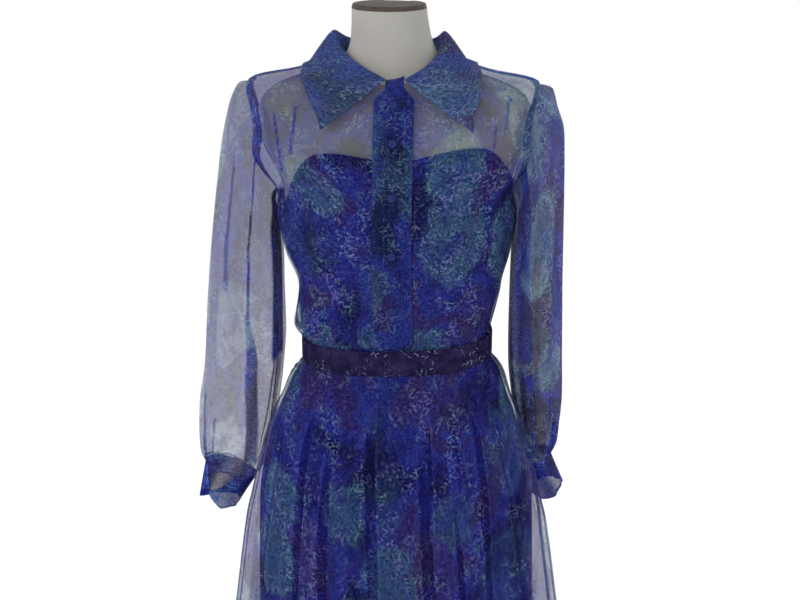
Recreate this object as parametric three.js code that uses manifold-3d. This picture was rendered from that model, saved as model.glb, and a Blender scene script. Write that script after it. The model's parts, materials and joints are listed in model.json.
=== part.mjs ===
// Cocktail dress on a limbless dress form. Millimetres, +Z up, front faces -Y.
// The origin is the centre of the stand's underside, on the floor.
// The dress is a sheer shirt-dress with full sleeves over an opaque strapless lining.
import * as THREE from 'three';
import { mergeVertices } from 'three/addons/utils/BufferGeometryUtils.js';
import Module from 'manifold-3d';

const wasm = await Module();
wasm.setup();

// ---- driving dimensions ----
const GAP = 0.3;                 // between pieces at a seam
const CHIFFON = 1;               // wall of one layer
const DOUBLED = 1.2;             // wall of the collar, cuffs and button band
const LINING_EASE = 4.3;          // lining's outer face, out from the form
const BASE = { radius: 155, height: 20, edge: 5 };
const POLE = { radius: 14 };
const CAP = { height: 5, edge: 1.5 };
const BELT = { bottom: 1023, top: 1057, width: 130.2, front: 95.6, back: 91.6, wall: 2 };
const BAND = { centre: 4, half: 25.5, topHalf: 11.5, lift: 1 };
const COLLAR_REST = { lift: 4.8, frontLift: 1, heart: [-5, 0, 1330] };   // how the leaf lies on the yoke
const BUTTON = { radius: 5.5, rise: 2.6, lift: 0.4, heights: [1382, 1336, 1270, 1195, 1120] };
const ARMHOLE = { y: 2, z: 1325, halfDepth: 55, halfHeight: 73, reach: 130, seam: 1.1 };
const WAIST = { z: 1040, tilt: 0.045, spread: 55 };   // the waist rises a little towards +X
const BUST = { spread: 68, width: 40 };
const LINING_TOP = { centre: 1313, peak: 1324, peakAt: 88, middle: 10, end: 153, rise: 0.045 };
const LINING_BACK = { side: 1252, middle: 1240 };
// Extra ease of the lining at its sides, between the waist and the underarm.
const LINING_SIDE = { left: 2.8, right: 4.5, waist: [1048, 1078], underarm: [1195, 1240] };

const COLOURS = {
  form: '#c9c4bd', cap: '#8f8479', stand: '#55524f', chiffon: '#3f4a92',
  doubled: '#333a80', belt: '#1d1d45', lining: '#1b1760',
};

// ---- tables ----
function table(columns, rows) {
  const names = columns.split(' ');
  return rows.map(row => Object.fromEntries(names.map((name, i) => [name, row[i]])));
}

// Rings of the torso. zf, zs, zb: height at the front, sides and back. cx, cy: centre.
// a: half width. bf, bb: depth to the front and back. n: squareness. bust: rise of the bust.
const RING = 'zf zs zb cx cy a bf bb n bust';
const FORM = table(RING, [
  [760, 760, 760, 0, 0, 153, 98, 104, 2.2, 0],
  [795, 795, 795, 0, 0, 163, 106, 112, 2.2, 0],
  [850, 850, 850, 0, 0, 164, 107, 113, 2.2, 0],
  [930, 930, 930, 0, 0, 148, 101, 104, 2.2, 0],
  [1000, 1000, 1000, 0, 0, 124.5, 87, 84.5, 2.2, 0],
  [1040, 1040, 1040, 0, 0, 118, 83.4, 79.4, 2.2, 0],
  [1080, 1080, 1080, 1, 0, 119, 86.5, 81.5, 2.2, 0],
  [1130, 1130, 1130, 2, 0, 126, 96, 87.5, 2.2, 0],
  [1180, 1180, 1180, 1, 0, 139, 106, 93.5, 2.2, 5],
  [1225, 1225, 1225, 0, 0, 148, 110, 98, 2.3, 10],
  [1270, 1270, 1270, -1, 0, 151, 105, 100, 2.35, 6],
  [1312, 1325, 1315, -2, 0, 160, 98, 99, 2.4, 1],
  [1354, 1388, 1350, -3, 0, 175, 84, 90, 2.6, 0],
  [1386, 1407, 1386, -4, 0, 122, 70, 70, 2.3, 0],
  [1412, 1428, 1408, -5, 0, 62, 57, 51, 2.1, 0],
  [1446, 1452, 1440, -6, -8, 52, 50, 48, 2, 0],
  [1497, 1497, 1497, -7, -30, 48, 49, 46, 2, 0],
]);
const BODICE = table(RING, [
  [1040, 1040, 1040, 0, 0, 126.4, 91.7, 87.7, 2.2, 0],
  [1057, 1057, 1057, 0, 0, 127.2, 92.6, 88.6, 2.2, 0],
  [1072, 1072, 1072, -5, 0, 134, 101, 97, 2.2, 0],
  [1128, 1128, 1128, 4, 0, 137, 113, 101, 2.2, 0],
  [1175, 1175, 1175, 1, 0, 151.5, 120, 104, 2.2, 3],
  [1225, 1225, 1225, 0, 0, 160, 121, 107, 2.3, 7],
  [1255, 1255, 1255, -1, 0, 157.5, 119, 109, 2.35, 6],
  [1305, 1325, 1312, -7.5, 0, 198, 109, 107, 2.4, 1],
  [1356, 1398, 1360, -5, 0, 191, 94, 98, 2.6, 0],
  [1386, 1415, 1396, -5, 0, 126, 85, 80, 2.3, 0],
  [1406, 1433, 1414, -6, 0, 72, 78, 60, 2.1, 0],
]);

// Rings of the two skirts, from the waist seam down.
const SKIRT_RING = 'z cy a bf bb';
const SKIRT = table(SKIRT_RING, [
  [1040, 0, 126.4, 91.7, 87.7],
  [1021.5, 0, 127.2, 92.6, 88.6],
  [1013, -2, 135, 98, 100],
  [999, -6, 146, 104, 114],
  [968, -16, 158, 110, 136],
  [948, -22, 168, 114, 150],
  [885, -25, 187, 126, 171],
  [829, -25, 200, 135, 178],
  [801, -25, 207, 139, 182],
  [649, -25, 229, 158, 200],
  [470, -25, 252, 180, 224],
]);
const SKIRT_LINING = table(SKIRT_RING, [
  [1040, 0, 124, 89, 85],
  [1021.5, 0, 124.6, 89.8, 85.8],
  [1013, -2, 131, 94, 95],
  [999, -6, 141, 97, 106],
  [968, -16, 153, 101, 126],
  [948, -22, 162, 103, 138],
  [885, -25, 180, 110, 155],
  [829, -25, 189, 115, 160],
  [649, -25, 194, 122, 168],
  [495, -25, 197, 126, 172],
]);
// Hanging folds of the skirt: degrees from the centre front towards +X, and depth at the hem.
const FOLDS = table('angle width depth', [
  [-57, 6, 10], [-37, 5, 15], [-23, 4, 11], [-6, 5, 15], [15, 5, 14], [28, 4, 9], [41, 5, 15],
  [57, 6, 10], [76, 5, 5], [-76, 5, 5], [104, 5, 6], [124, 6, 12], [146, 5, 15], [163, 5, 11],
  [181, 6, 15], [200, 5, 12], [218, 5, 15], [237, 6, 12], [256, 5, 6],
]);

// Sleeve sections: x and z of the outer and inner edge, half depth, and y of the middle.
const SECTION = 'outX outZ inX inZ half mid';
const SLEEVES = {
  left: table(SECTION, [
    [190, 1398, 157, 1252, 55, 2],
    [206, 1396, 170, 1242, 53.6, 3],
    [217, 1380, 168, 1228, 59, 4],
    [231, 1329, 165.5, 1200, 63, 6],
    [242, 1260, 161, 1160, 66, 9],
    [254, 1165, 157, 1110, 66, 12],
    [262, 1087, 157, 1058, 66, 16],
    [269, 1005, 162, 1000, 66, 22],
    [281, 935, 171, 938, 64, 28],
    [284, 885, 181, 886, 56, 31],
    [283, 860, 193, 846, 43, 31],
    [278, 848, 206, 822, 33, 28],
  ]),
  right: table(SECTION, [
    [190, 1398, 157, 1252, 55, 2],
    [202, 1393, 164, 1240, 56, 3],
    [210, 1368, 165, 1226, 59, 4],
    [220, 1332, 163, 1195, 63, 6],
    [222, 1255, 157, 1155, 66, 10],
    [223, 1172, 151, 1105, 66, 16],
    [224, 1100, 151, 1060, 66, 26],
    [225, 1027, 152, 1005, 66, 40],
    [227, 950, 158, 940, 60, 65],
    [225, 902, 166, 898, 52, 82],
    [223, 872, 170, 868, 42, 88],
    [215, 848, 174, 844, 34, 92],
  ]),
};
// Long folds of a sleeve: degrees round from its outer edge towards the front, and depth.
const SLEEVE_FOLDS = table('angle width depth', [
  [42, 9, 6], [88, 8, 13], [128, 10, 9], [168, 9, 5], [212, 10, 9], [262, 9, 12], [312, 10, 8],
]);
const WRIST_GATHERS = { count: 14, depth: 2 };

// Cuffs: the far end's section, the slit's two edges (degrees, at the seam and at the far end),
// and the length by angle.
const CUFFS = {
  left: {
    end: table(SECTION, [[286, 792, 233, 784, 36, 20]])[0],
    slit: { from: [-36, -66], to: [250, 302] },
    length: table('angle part', [
      [-66, 0.66], [-20, 0.72], [40, 0.84], [90, 0.85], [180, 0.78],
      [215, 0.9], [243, 1], [275, 0.82], [302, 0.6],
    ]),
  },
  right: {
    end: table(SECTION, [[232, 796, 186, 785, 34, 98]])[0],
    slit: { from: [150, 128], to: [468, 496] },
    length: table('angle part', [[128, 0.9], [180, 0.95], [270, 1], [360, 0.98], [450, 1.1], [496, 0.9]]),
  },
};

// Half of the collar from its front edge to the centre back: roll line and leaf edge.
const COLLAR = table('rollX rollY rollZ edgeX edgeY edgeZ seam', [
  [17, -83, 1409, 97, -99, 1351, 18],
  [37, -72, 1420, 99, -88, 1368, 32],
  [55, -51, 1432, 102, -69, 1386, 52],
  [66, -22, 1444, 105, -38, 1404, 75],
  [73, 5, 1463, 108.5, 3, 1417, 95],
  [61, 38, 1450, 101, 52, 1403, 122],
  [36, 56, 1442, 62, 86, 1388, 152],
  [0, 62, 1439, 0, 97, 1382, 180],
]);
const COLLAR_SHIFT = { front: 8, frontY: -98, side: -10.5 };   // the collar sits slightly askew

// ---- curves and surfaces ----
const { clamp, degToRad, lerp, mapLinear, radToDeg, smoothstep } = THREE.MathUtils;
const steps = (from, to, count) => Array.from({ length: count + 1 }, (_, i) => lerp(from, to, i / count));

// One row worked out between a table's rows, without overshoot.
function rowAt(rows, position) {
  const last = rows.length - 1;
  const i = clamp(Math.floor(position), 0, last - 1);
  const f = position - i;
  const out = {};
  for (const key of Object.keys(rows[0])) {
    const step = k => rows[k + 1][key] - rows[k][key];
    const slope = k => {
      if (k === 0) return step(0);
      if (k === last) return step(last - 1);
      const product = step(k - 1) * step(k);
      return product <= 0 ? 0 : 2 * product / (step(k - 1) + step(k));
    };
    const [p, q] = [rows[i][key], rows[i + 1][key]];
    const hermite = () => p * (1 + 2 * f) * (1 - f) ** 2 + q * f * f * (3 - 2 * f)
      + slope(i) * f * (1 - f) ** 2 - slope(i + 1) * f * f * (1 - f);
    out[key] = f > 1 ? q + (f - 1) * slope(last) : hermite();
  }
  return out;
}

const power = (value, exponent) => Math.sign(value) * Math.abs(value) ** exponent;

// A point on a torso ring; the angle runs from the centre front towards +X.
function ringPoint(ring, angle) {
  const s = Math.sin(angle);
  const c = Math.cos(angle);
  const across = ring.a * power(s, 2 / ring.n);
  const end = c > 0 ? ring.zf : ring.zb;
  const rise = c > 0 ? ring.bust * Math.exp(-(((Math.abs(across) - BUST.spread) / BUST.width) ** 2)) : 0;
  const y = ring.cy - power(c, 2 / ring.n) * (c > 0 ? ring.bf : ring.bb) - rise;
  return new THREE.Vector3(ring.cx + across, y, ring.zs + (end - ring.zs) * c * c);
}
const tilted = surface => (u, v) => {
  const point = surface(u, v);
  point.z += WAIST.tilt * point.x * Math.exp(-(((point.z - WAIST.z) / WAIST.spread) ** 2));
  return point;
};
const torso = rows => (angle, position) => ringPoint(rowAt(rows, position), angle);

// Tangents and outward normal of a surface, where rows rise and angles turn anticlockwise.
function frameAt(surface, u, v) {
  const e = 1e-3;
  const along = surface(u + e, v).sub(surface(u - e, v)).normalize();
  const up = surface(u, v + e).sub(surface(u, v - e)).normalize();
  return { along, up, normal: new THREE.Vector3().crossVectors(along, up).normalize() };
}
const raised = (surface, height) => (u, v) =>
  surface(u, v).addScaledVector(frameAt(surface, u, v).normal, height);

function meshFrom(points, faces) {
  const geometry = new THREE.BufferGeometry();
  geometry.setAttribute('position', new THREE.Float32BufferAttribute(points.flatMap(p => p.toArray()), 3));
  geometry.setIndex(faces.flatMap(([a, b, c, d]) => [a, b, c, a, c, d]));
  geometry.computeVertexNormals();
  return geometry;
}

// A cloth wall: the surface is its outer face. seams names the edges that are trimmed for a seam.
function wall(surface, us, vs, thickness, { closed = false, seams = [] } = {}) {
  const wide = us.length;
  const outer = [];
  const inner = [];
  vs.forEach((v, j) => us.forEach((u, i) => {
    const { along, up, normal } = frameAt(surface, u, v);
    const point = surface(u, v);
    if (i === 0 && seams.includes('start')) point.addScaledVector(along, GAP / 2);
    if (i === wide - 1 && seams.includes('end')) point.addScaledVector(along, -GAP / 2);
    if (j === 0 && seams.includes('first')) point.addScaledVector(up, GAP / 2);
    if (j === vs.length - 1 && seams.includes('last')) point.addScaledVector(up, -GAP / 2);
    outer.push(point);
    inner.push(point.clone().addScaledVector(normal, -thickness));
  }));
  const size = outer.length;
  const at = (i, j) => j * wide + i % wide;
  const faces = [];
  const columns = closed ? wide : wide - 1;
  for (let i = 0; i < columns; i++) {
    for (let j = 0; j < vs.length - 1; j++) {
      const quad = [at(i, j), at(i + 1, j), at(i + 1, j + 1), at(i, j + 1)];
      faces.push(quad, quad.map(k => k + size).reverse());
    }
    const top = vs.length - 1;
    faces.push([at(i, 0), at(i, 0) + size, at(i + 1, 0) + size, at(i + 1, 0)]);
    faces.push([at(i + 1, top), at(i + 1, top) + size, at(i, top) + size, at(i, top)]);
  }
  for (let j = 0; j < vs.length - 1 && !closed; j++) {
    const end = wide - 1;
    faces.push([at(0, j), at(0, j + 1), at(0, j + 1) + size, at(0, j) + size]);
    faces.push([at(end, j) + size, at(end, j + 1) + size, at(end, j + 1), at(end, j)]);
  }
  return meshFrom([...outer, ...inner], faces);
}

// A solid through closed rings, with flat ends.
function solidOfRings(surface, us, vs) {
  const wide = us.length;
  const points = vs.flatMap(v => us.map(u => surface(u, v)));
  const faces = [];
  for (let j = 0; j < vs.length - 1; j++) {
    for (let i = 0; i < wide; i++) {
      const k = (i + 1) % wide;
      faces.push([j * wide + i, j * wide + k, (j + 1) * wide + k, (j + 1) * wide + i]);
    }
  }
  const centre = ring => ring.reduce((sum, p) => sum.add(p), new THREE.Vector3()).divideScalar(wide);
  points.push(centre(points.slice(0, wide)), centre(points.slice(-wide)));
  const geometry = meshFrom(points, faces);
  const [low, high] = [points.length - 2, points.length - 1];
  const base = (vs.length - 1) * wide;
  const ends = us.flatMap((_, i) => {
    const k = (i + 1) % wide;
    return [low, k, i, high, base + i, base + k];
  });
  geometry.setIndex([...geometry.index.array, ...ends]);
  return geometry;
}

// ---- cutting ----
function toSolid(geometry) {
  const bare = geometry.clone();
  bare.deleteAttribute('normal');
  bare.deleteAttribute('uv');
  const merged = mergeVertices(bare, 1e-4);
  return new wasm.Manifold(new wasm.Mesh({
    numProp: 3,
    vertProperties: Float32Array.from(merged.attributes.position.array),
    triVerts: Uint32Array.from(merged.index.array),
  }));
}

function cut(geometry, tools) {
  const whole = tools.reduce((left, tool) => left.subtract(toSolid(tool)), toSolid(geometry));
  const pieces = whole.decompose().sort((p, q) => q.volume() - p.volume());
  const mesh = pieces[0].getMesh();
  const result = new THREE.BufferGeometry();
  result.setAttribute('position', new THREE.Float32BufferAttribute(mesh.vertProperties, 3));
  result.setIndex([...mesh.triVerts]);
  result.computeVertexNormals();
  return result;
}

function armholePlug(side) {
  const shape = new THREE.Shape().absellipse(0, 0, ARMHOLE.halfHeight, ARMHOLE.halfDepth, 0, 2 * Math.PI);
  const settings = { depth: ARMHOLE.reach, bevelEnabled: false, curveSegments: 24 };
  const plug = new THREE.ExtrudeGeometry(shape, settings);
  plug.rotateY(Math.PI / 2);
  return plug.translate(side > 0 ? ARMHOLE.reach : -2 * ARMHOLE.reach, ARMHOLE.y, ARMHOLE.z);
}

// ---- pieces ----
const group = new THREE.Group();
function add(name, geometry, colour, roughness = 0.8) {
  const material = new THREE.MeshStandardMaterial({ color: colour, roughness, metalness: 0 });
  const mesh = new THREE.Mesh(geometry, material);
  mesh.name = name;
  group.add(mesh);
  return mesh;
}

function lathe(profile, segments) {
  const points = profile.map(([r, z]) => new THREE.Vector2(r, z));
  return new THREE.LatheGeometry(points, segments).rotateX(Math.PI / 2);
}

function addForm() {
  const round = steps(0, 2 * Math.PI, 32).slice(0, -1);
  const top = FORM.length - 1;
  const rows = [0, 0.5, ...steps(1, top, top - 1)];
  add('form_torso', solidOfRings(torso(FORM), round, rows), COLOURS.form, 0.55);
  const neck = FORM[top];
  const capRing = (angle, v) => {
    const shrink = v > 1 ? CAP.edge : 0;
    const z = neck.zf + GAP + CAP.height * Math.min(v / 2, 1);
    const ring = { ...neck, a: neck.a - shrink, bf: neck.bf - shrink, bb: neck.bb - shrink };
    return ringPoint({ ...ring, zf: z, zs: z, zb: z }, angle);
  };
  add('neck_cap', solidOfRings(capRing, round, [0, 1, 2]), COLOURS.cap, 0.7);
  const { radius, height, edge } = BASE;
  const inner = radius - edge;
  const base = [[0, 0], [inner, 0], [radius, edge], [radius, height - edge], [inner, height], [0, height]];
  add('stand_base', lathe(base, 36), COLOURS.stand, 0.4);
  const [foot, head] = [height + GAP, FORM[0].zf - GAP];
  const pole = [[0, foot], [POLE.radius, foot], [POLE.radius, head], [0, head]];
  add('stand_pole', lathe(pole, 20), COLOURS.stand, 0.4);
}

// Sheer bodice: two fronts and a back, with side seams that run on as shoulder seams.
function addBodice() {
  const surface = tilted(torso(BODICE));
  const rows = [0, 1, 1.5, 2, 3, 4, 5, 6, 6.5, 7, 7.5, 8, 8.5, 9, 9.5, 10];
  const side = Math.PI / 2;
  const plugs = [armholePlug(-1), armholePlug(1)];
  const seams = ['start', 'end', 'first'];
  const panels = {
    bodice_front_left: steps(-side, 0, 8),
    bodice_front_right: steps(0, side, 8),
    bodice_back: steps(side, 3 * side, 14),
  };
  const uncut = [];
  for (const [name, angles] of Object.entries(panels)) {
    const panel = wall(surface, angles, rows, CHIFFON, { seams });
    uncut.push(new THREE.Mesh(panel));
    add(name, cut(panel, plugs), COLOURS.chiffon);
  }
  return uncut;
}

function addBand() {
  const surface = tilted(torso(BODICE));
  const top = BODICE.length - 1;
  const across = (u, v) => {
    const ring = rowAt(BODICE, v);
    const x = BAND.centre + u * lerp(BAND.half, BAND.topHalf, smoothstep(v, top - 1.1, top - 0.2));
    return surface(Math.asin(power((x - ring.cx) / ring.a, ring.n / 2)), v);
  };
  const band = raised(across, BAND.lift + DOUBLED);
  const levels = [1.35, ...steps(2, top, 12), top + 0.3];
  add('placket', wall(band, steps(-1, 1, 4), levels, DOUBLED), COLOURS.doubled);
  BUTTON.heights.forEach((height, i) => {
    let [low, high] = [1, top];
    for (let k = 0; k < 30; k++) {
      const middle = (low + high) / 2;
      if (band(0, middle).z < height) low = middle; else high = middle;
    }
    const { normal } = frameAt(band, 0, low);
    const r = BUTTON.radius;
    const profile = [[0, 0], [r * 0.8, 0], [r, r * 0.2], [r * 0.7, BUTTON.rise * 0.8], [0, BUTTON.rise]];
    const dome = lathe(profile, 10);
    dome.applyQuaternion(new THREE.Quaternion().setFromUnitVectors(new THREE.Vector3(0, 0, 1), normal));
    const place = band(0, low).addScaledVector(normal, BUTTON.lift);
    add(`button_${i + 1}`, dome.translate(place.x, place.y, place.z), COLOURS.doubled);
  });
}

// Moves a point outwards where needed, so that it lies above the bodice.
function restOn(panels) {
  const ray = new THREE.Raycaster();
  const heart = new THREE.Vector3(...COLLAR_REST.heart);
  return (point, lift) => {
    const out = point.clone().sub(heart);
    const reach = out.length();
    const direction = out.normalize();
    ray.set(heart.clone().addScaledVector(direction, 500), direction.clone().negate());
    const hit = ray.intersectObjects(panels)[0];
    if (!hit) return point;
    const floor = 500 - hit.distance + lift;
    return reach < floor ? heart.clone().addScaledVector(direction, floor) : point;
  };
}

function addCollar(panels) {
  const rest = restOn(panels);
  const neckline = BODICE[BODICE.length - 1];
  const neck = { ...neckline, cx: 0, a: neckline.a - 5, bf: neckline.bf - 1.9, bb: neckline.bb - 2 };
  const { front, frontY, side: atSide } = COLLAR_SHIFT;
  const last = COLLAR.length - 1;
  const section = (turn, v) => {
    const side = turn < 0 ? -1 : 1;
    const row = rowAt(COLLAR, last - Math.abs(turn));
    const shift = y => mapLinear(clamp(y, frontY, 0), frontY, 0, front, atSide);
    const roll = new THREE.Vector3(side * row.rollX + shift(row.rollY), row.rollY, row.rollZ);
    const edge = new THREE.Vector3(side * row.edgeX + shift(row.edgeY), row.edgeY, row.edgeZ);
    const seam = ringPoint(neck, side * degToRad(row.seam));
    seam.x += shift(seam.y);
    seam.z += 1;
    const handle = roll.clone().addScaledVector(seam, -0.125).addScaledVector(edge, -0.125);
    handle.divideScalar(0.75);
    const point = new THREE.CubicBezierCurve3(seam, handle, handle, edge).getPoint(v);
    const lift = COLLAR_REST.lift + COLLAR_REST.frontLift * smoothstep(Math.abs(turn), last - 1.5, last);
    return v > 0.45 ? rest(point, lift) : point;
  };
  const turns = steps(-last, last, 30);
  add('collar', wall(section, turns, [0, 0.18, 0.34, 0.48, 0.6, 0.7, 0.8, 0.9, 1], DOUBLED), COLOURS.doubled);
}

function addBelt() {
  const { bottom, top, width, front, back, wall: thickness } = BELT;
  const size = { cx: 0, cy: 0, a: width, bf: front, bb: back, n: 2.2, bust: 0 };
  const ring = (angle, z) => ringPoint({ ...size, zf: z, zs: z, zb: z }, angle);
  const round = steps(0, 2 * Math.PI, 44).slice(0, -1);
  add('belt', wall(tilted(ring), round, [bottom, top], thickness, { closed: true }), COLOURS.belt, 0.5);
}

function foldDepth(folds, degrees) {
  return folds.reduce((sum, fold) => {
    const away = ((degrees - fold.angle + 540) % 360) - 180;
    return sum + fold.depth * Math.exp(-((away / fold.width) ** 2));
  }, 0);
}

// A skirt surface from its hem up, with its folds growing from the waist down.
function skirtSurface(rows, foldShare) {
  const last = rows.length - 1;
  return (angle, fromHem) => {
    const row = rowAt(rows, last - fromHem);
    const ring = { ...row, zf: row.z, zs: row.z, zb: row.z, cx: 0, n: 2.2, bust: 0 };
    const point = ringPoint(ring, angle);
    const grown = 0.18 * smoothstep(1024 - row.z, 0, 30) + 0.82 * smoothstep(1000 - row.z, 0, 330);
    const depth = foldShare * grown * foldDepth(FOLDS, radToDeg(angle));
    const inward = new THREE.Vector3(-point.x, row.cy - point.y, 0).normalize();
    return point.addScaledVector(inward, depth);
  };
}

function addSkirts() {
  const side = Math.PI / 2;
  const layers = [
    ['skirt', SKIRT, 1, 40, [0, 1, 2, 3, 4, 5, 6, 7, 8, 9, 10], COLOURS.chiffon],
    ['skirt_lining', SKIRT_LINING, 0.5, 22, [0, 1, 2, 3, 4, 5, 6, 7, 8, 9], COLOURS.lining],
  ];
  for (const [name, rows, share, columns, levels, colour] of layers) {
    const surface = tilted(skirtSurface(rows, share));
    const seams = ['start', 'end', 'last'];
    add(`${name}_front`, wall(surface, steps(-side, side, columns), levels, CHIFFON, { seams }), colour);
    add(`${name}_back`, wall(surface, steps(side, 3 * side, columns), levels, CHIFFON, { seams }), colour);
  }
}

// Height of the strapless lining's top edge: a sweetheart in front, straight behind.
function liningTop(angle, x) {
  const { centre, peak, peakAt, middle, end, rise } = LINING_TOP;
  const { side } = LINING_BACK;
  const turned = Math.cos(angle);
  if (turned < 0) return lerp(side, LINING_BACK.middle, turned ** 2);
  const away = Math.abs(x - middle);
  const dip = away < peakAt
    ? lerp(centre, peak, smoothstep(away, 0, peakAt))
    : lerp(peak, side, ((away - peakAt) / (end - peakAt)) ** 3);
  return lerp(side, dip + rise * x, smoothstep(turned, 0, 0.3));
}

function addBodiceLining() {
  const form = torso(FORM);
  const surface = tilted((angle, row) => {
    const { z } = form(angle, row);
    const grown = smoothstep(z, ...LINING_SIDE.waist) * (1 - smoothstep(z, ...LINING_SIDE.underarm));
    const extra = Math.sin(angle) < 0 ? LINING_SIDE.left : LINING_SIDE.right;
    return raised(form, LINING_EASE + extra * grown * Math.sin(angle) ** 2)(angle, row);
  });
  const waist = 5;
  const cutSurface = (angle, part) => {
    let [low, high] = [waist, waist + 8];
    for (let k = 0; k < 24; k++) {
      const middle = (low + high) / 2;
      const point = surface(angle, middle);
      if (point.z < liningTop(angle, point.x)) low = middle; else high = middle;
    }
    return surface(angle, lerp(waist, low, part));
  };
  const side = Math.PI / 2;
  const seams = ['start', 'end', 'first'];
  const levels = steps(0, 1, 8);
  const panel = angles => wall(cutSurface, angles, levels, CHIFFON, { seams });
  add('bodice_lining_front', panel(steps(-side, side, 22)), COLOURS.lining);
  add('bodice_lining_back', panel(steps(side, 3 * side, 14)), COLOURS.lining);
}

function sectionPoint(row, side, angle) {
  const c = Math.cos(angle);
  const x = (row.outX + row.inX) / 2 + c * (row.outX - row.inX) / 2;
  const z = (row.outZ + row.inZ) / 2 + c * (row.outZ - row.inZ) / 2;
  return new THREE.Vector3(side * x, row.mid - side * row.half * Math.sin(angle), z);
}

// The armhole's edge on a bodice panel, found by looking in from the side.
function armholeEdge(side, panels) {
  const ray = new THREE.Raycaster();
  const known = new Map();
  return angle => {
    const key = angle.toFixed(6);
    if (!known.has(key)) {
      const y = ARMHOLE.y - side * (ARMHOLE.halfDepth - ARMHOLE.seam) * Math.sin(angle);
      const z = ARMHOLE.z + (ARMHOLE.halfHeight - ARMHOLE.seam) * Math.cos(angle);
      ray.set(new THREE.Vector3(side * 400, y, z), new THREE.Vector3(-side, 0, 0));
      known.set(key, ray.intersectObjects(panels)[0].point);
    }
    return known.get(key).clone();
  };
}

function sleeveSurface(side, rows, panels) {
  const edge = armholeEdge(side, panels);
  const last = rows.length - 1;
  return (angle, position) => {
    const row = rowAt(rows, clamp(position, 0, last));
    const point = sectionPoint(row, side, angle);
    const middle = sectionPoint(row, side, 0).lerp(sectionPoint(row, side, Math.PI), 0.5);
    const degrees = radToDeg(side * angle);
    const grown = smoothstep(position, 1, 5) * (1 - 0.55 * smoothstep(position, last - 2, last));
    const gathers = WRIST_GATHERS.depth * smoothstep(position, last - 2.2, last - 0.6)
      * (1 - smoothstep(position, last - 0.6, last)) * Math.cos(WRIST_GATHERS.count * angle);
    const depth = grown * foldDepth(SLEEVE_FOLDS, degrees) + gathers;
    const inward = middle.sub(point).normalize();
    point.addScaledVector(inward, depth);
    if (position >= 1) return point;
    return edge(angle).lerp(point, position);
  };
}

function addSleeve(name, side, panels) {
  const rows = SLEEVES[name];
  const surface = sleeveSurface(side, rows, panels);
  const round = steps(0, 2 * Math.PI, 32).slice(0, -1);
  const levels = [0, 0.4, 1, 2, 3, 4, 5, 6, 7, 8, 9, 10, 11];
  const sleeve = wall(surface, round, levels, CHIFFON, { closed: true, seams: ['last'] });
  add(`sleeve_${name}`, sleeve, COLOURS.chiffon);
}

function addCuff(name, side) {
  const start = SLEEVES[name][SLEEVES[name].length - 1];
  const { end, slit, length } = CUFFS[name];
  const partAt = degrees => {
    const next = Math.max(1, length.findIndex(row => row.angle >= degrees));
    const [p, q] = [length[next - 1], length[next]];
    return lerp(p.part, q.part, smoothstep(clamp(degrees, p.angle, q.angle), p.angle, q.angle));
  };
  const surface = (u, v) => {
    const degrees = lerp(lerp(slit.from[0], slit.from[1], v), lerp(slit.to[0], slit.to[1], v), u);
    const reach = v * partAt(clamp(degrees, length[0].angle, length[length.length - 1].angle));
    const row = Object.fromEntries(Object.keys(start).map(key => [key, lerp(start[key], end[key], reach)]));
    const wider = 2.5 * u * v;
    const widened = { outX: row.outX + wider, inX: row.inX - wider, half: row.half + wider };
    return sectionPoint({ ...row, ...widened }, side, degToRad(degrees));
  };
  const levels = [0.012, 0.33, 0.66, 1];
  add(`cuff_${name}`, wall(surface, steps(0, 1, 22), levels, DOUBLED, { seams: ['first'] }), COLOURS.doubled);
}

addForm();
const panels = addBodice();
addBand();
addCollar(panels);
addBelt();
addSkirts();
addBodiceLining();
for (const [name, side] of [['left', -1], ['right', 1]]) {
  addSleeve(name, side, panels);
  addCuff(name, side);
}

export default group;
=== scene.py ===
# Cocktail dress on a dress form: the looks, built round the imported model.
# Tables and surfaces are in millimetres, Blender's meshes and settings in metres.
import json
import math
from functools import partial

import bpy
import numpy as np
from bpy.props import FloatProperty, FloatVectorProperty, PointerProperty
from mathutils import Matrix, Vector
from mathutils.bvhtree import BVHTree

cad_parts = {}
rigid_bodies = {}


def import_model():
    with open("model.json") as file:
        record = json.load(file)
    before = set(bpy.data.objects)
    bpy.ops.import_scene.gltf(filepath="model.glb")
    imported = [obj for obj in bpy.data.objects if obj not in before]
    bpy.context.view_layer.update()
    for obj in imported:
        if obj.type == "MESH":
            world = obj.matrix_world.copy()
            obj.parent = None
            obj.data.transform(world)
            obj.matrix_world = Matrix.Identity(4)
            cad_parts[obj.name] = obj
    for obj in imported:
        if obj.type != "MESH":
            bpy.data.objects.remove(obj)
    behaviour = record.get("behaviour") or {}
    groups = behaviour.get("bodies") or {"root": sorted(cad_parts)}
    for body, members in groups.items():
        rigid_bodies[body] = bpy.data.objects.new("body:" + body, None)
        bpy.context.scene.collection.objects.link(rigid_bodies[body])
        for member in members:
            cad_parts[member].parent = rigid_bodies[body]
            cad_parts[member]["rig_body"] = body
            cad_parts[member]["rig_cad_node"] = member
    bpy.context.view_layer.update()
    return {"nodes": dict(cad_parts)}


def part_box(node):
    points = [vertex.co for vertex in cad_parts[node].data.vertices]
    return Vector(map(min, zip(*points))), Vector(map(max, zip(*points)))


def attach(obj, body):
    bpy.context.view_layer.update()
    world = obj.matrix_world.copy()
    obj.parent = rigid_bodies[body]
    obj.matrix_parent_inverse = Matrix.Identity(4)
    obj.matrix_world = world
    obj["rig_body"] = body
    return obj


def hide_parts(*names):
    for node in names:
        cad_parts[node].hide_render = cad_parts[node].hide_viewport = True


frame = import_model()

bl_info = {
    "name": "Cocktail dress on a form",
    "version": (1, 0, 0),
    "blender": (4, 5, 0),
    "location": "View3D > Sidebar > Dress",
    "description": "Builds a sheer printed shirt-dress over its lining, on a dress form",
    "category": "Mesh",
}

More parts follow.
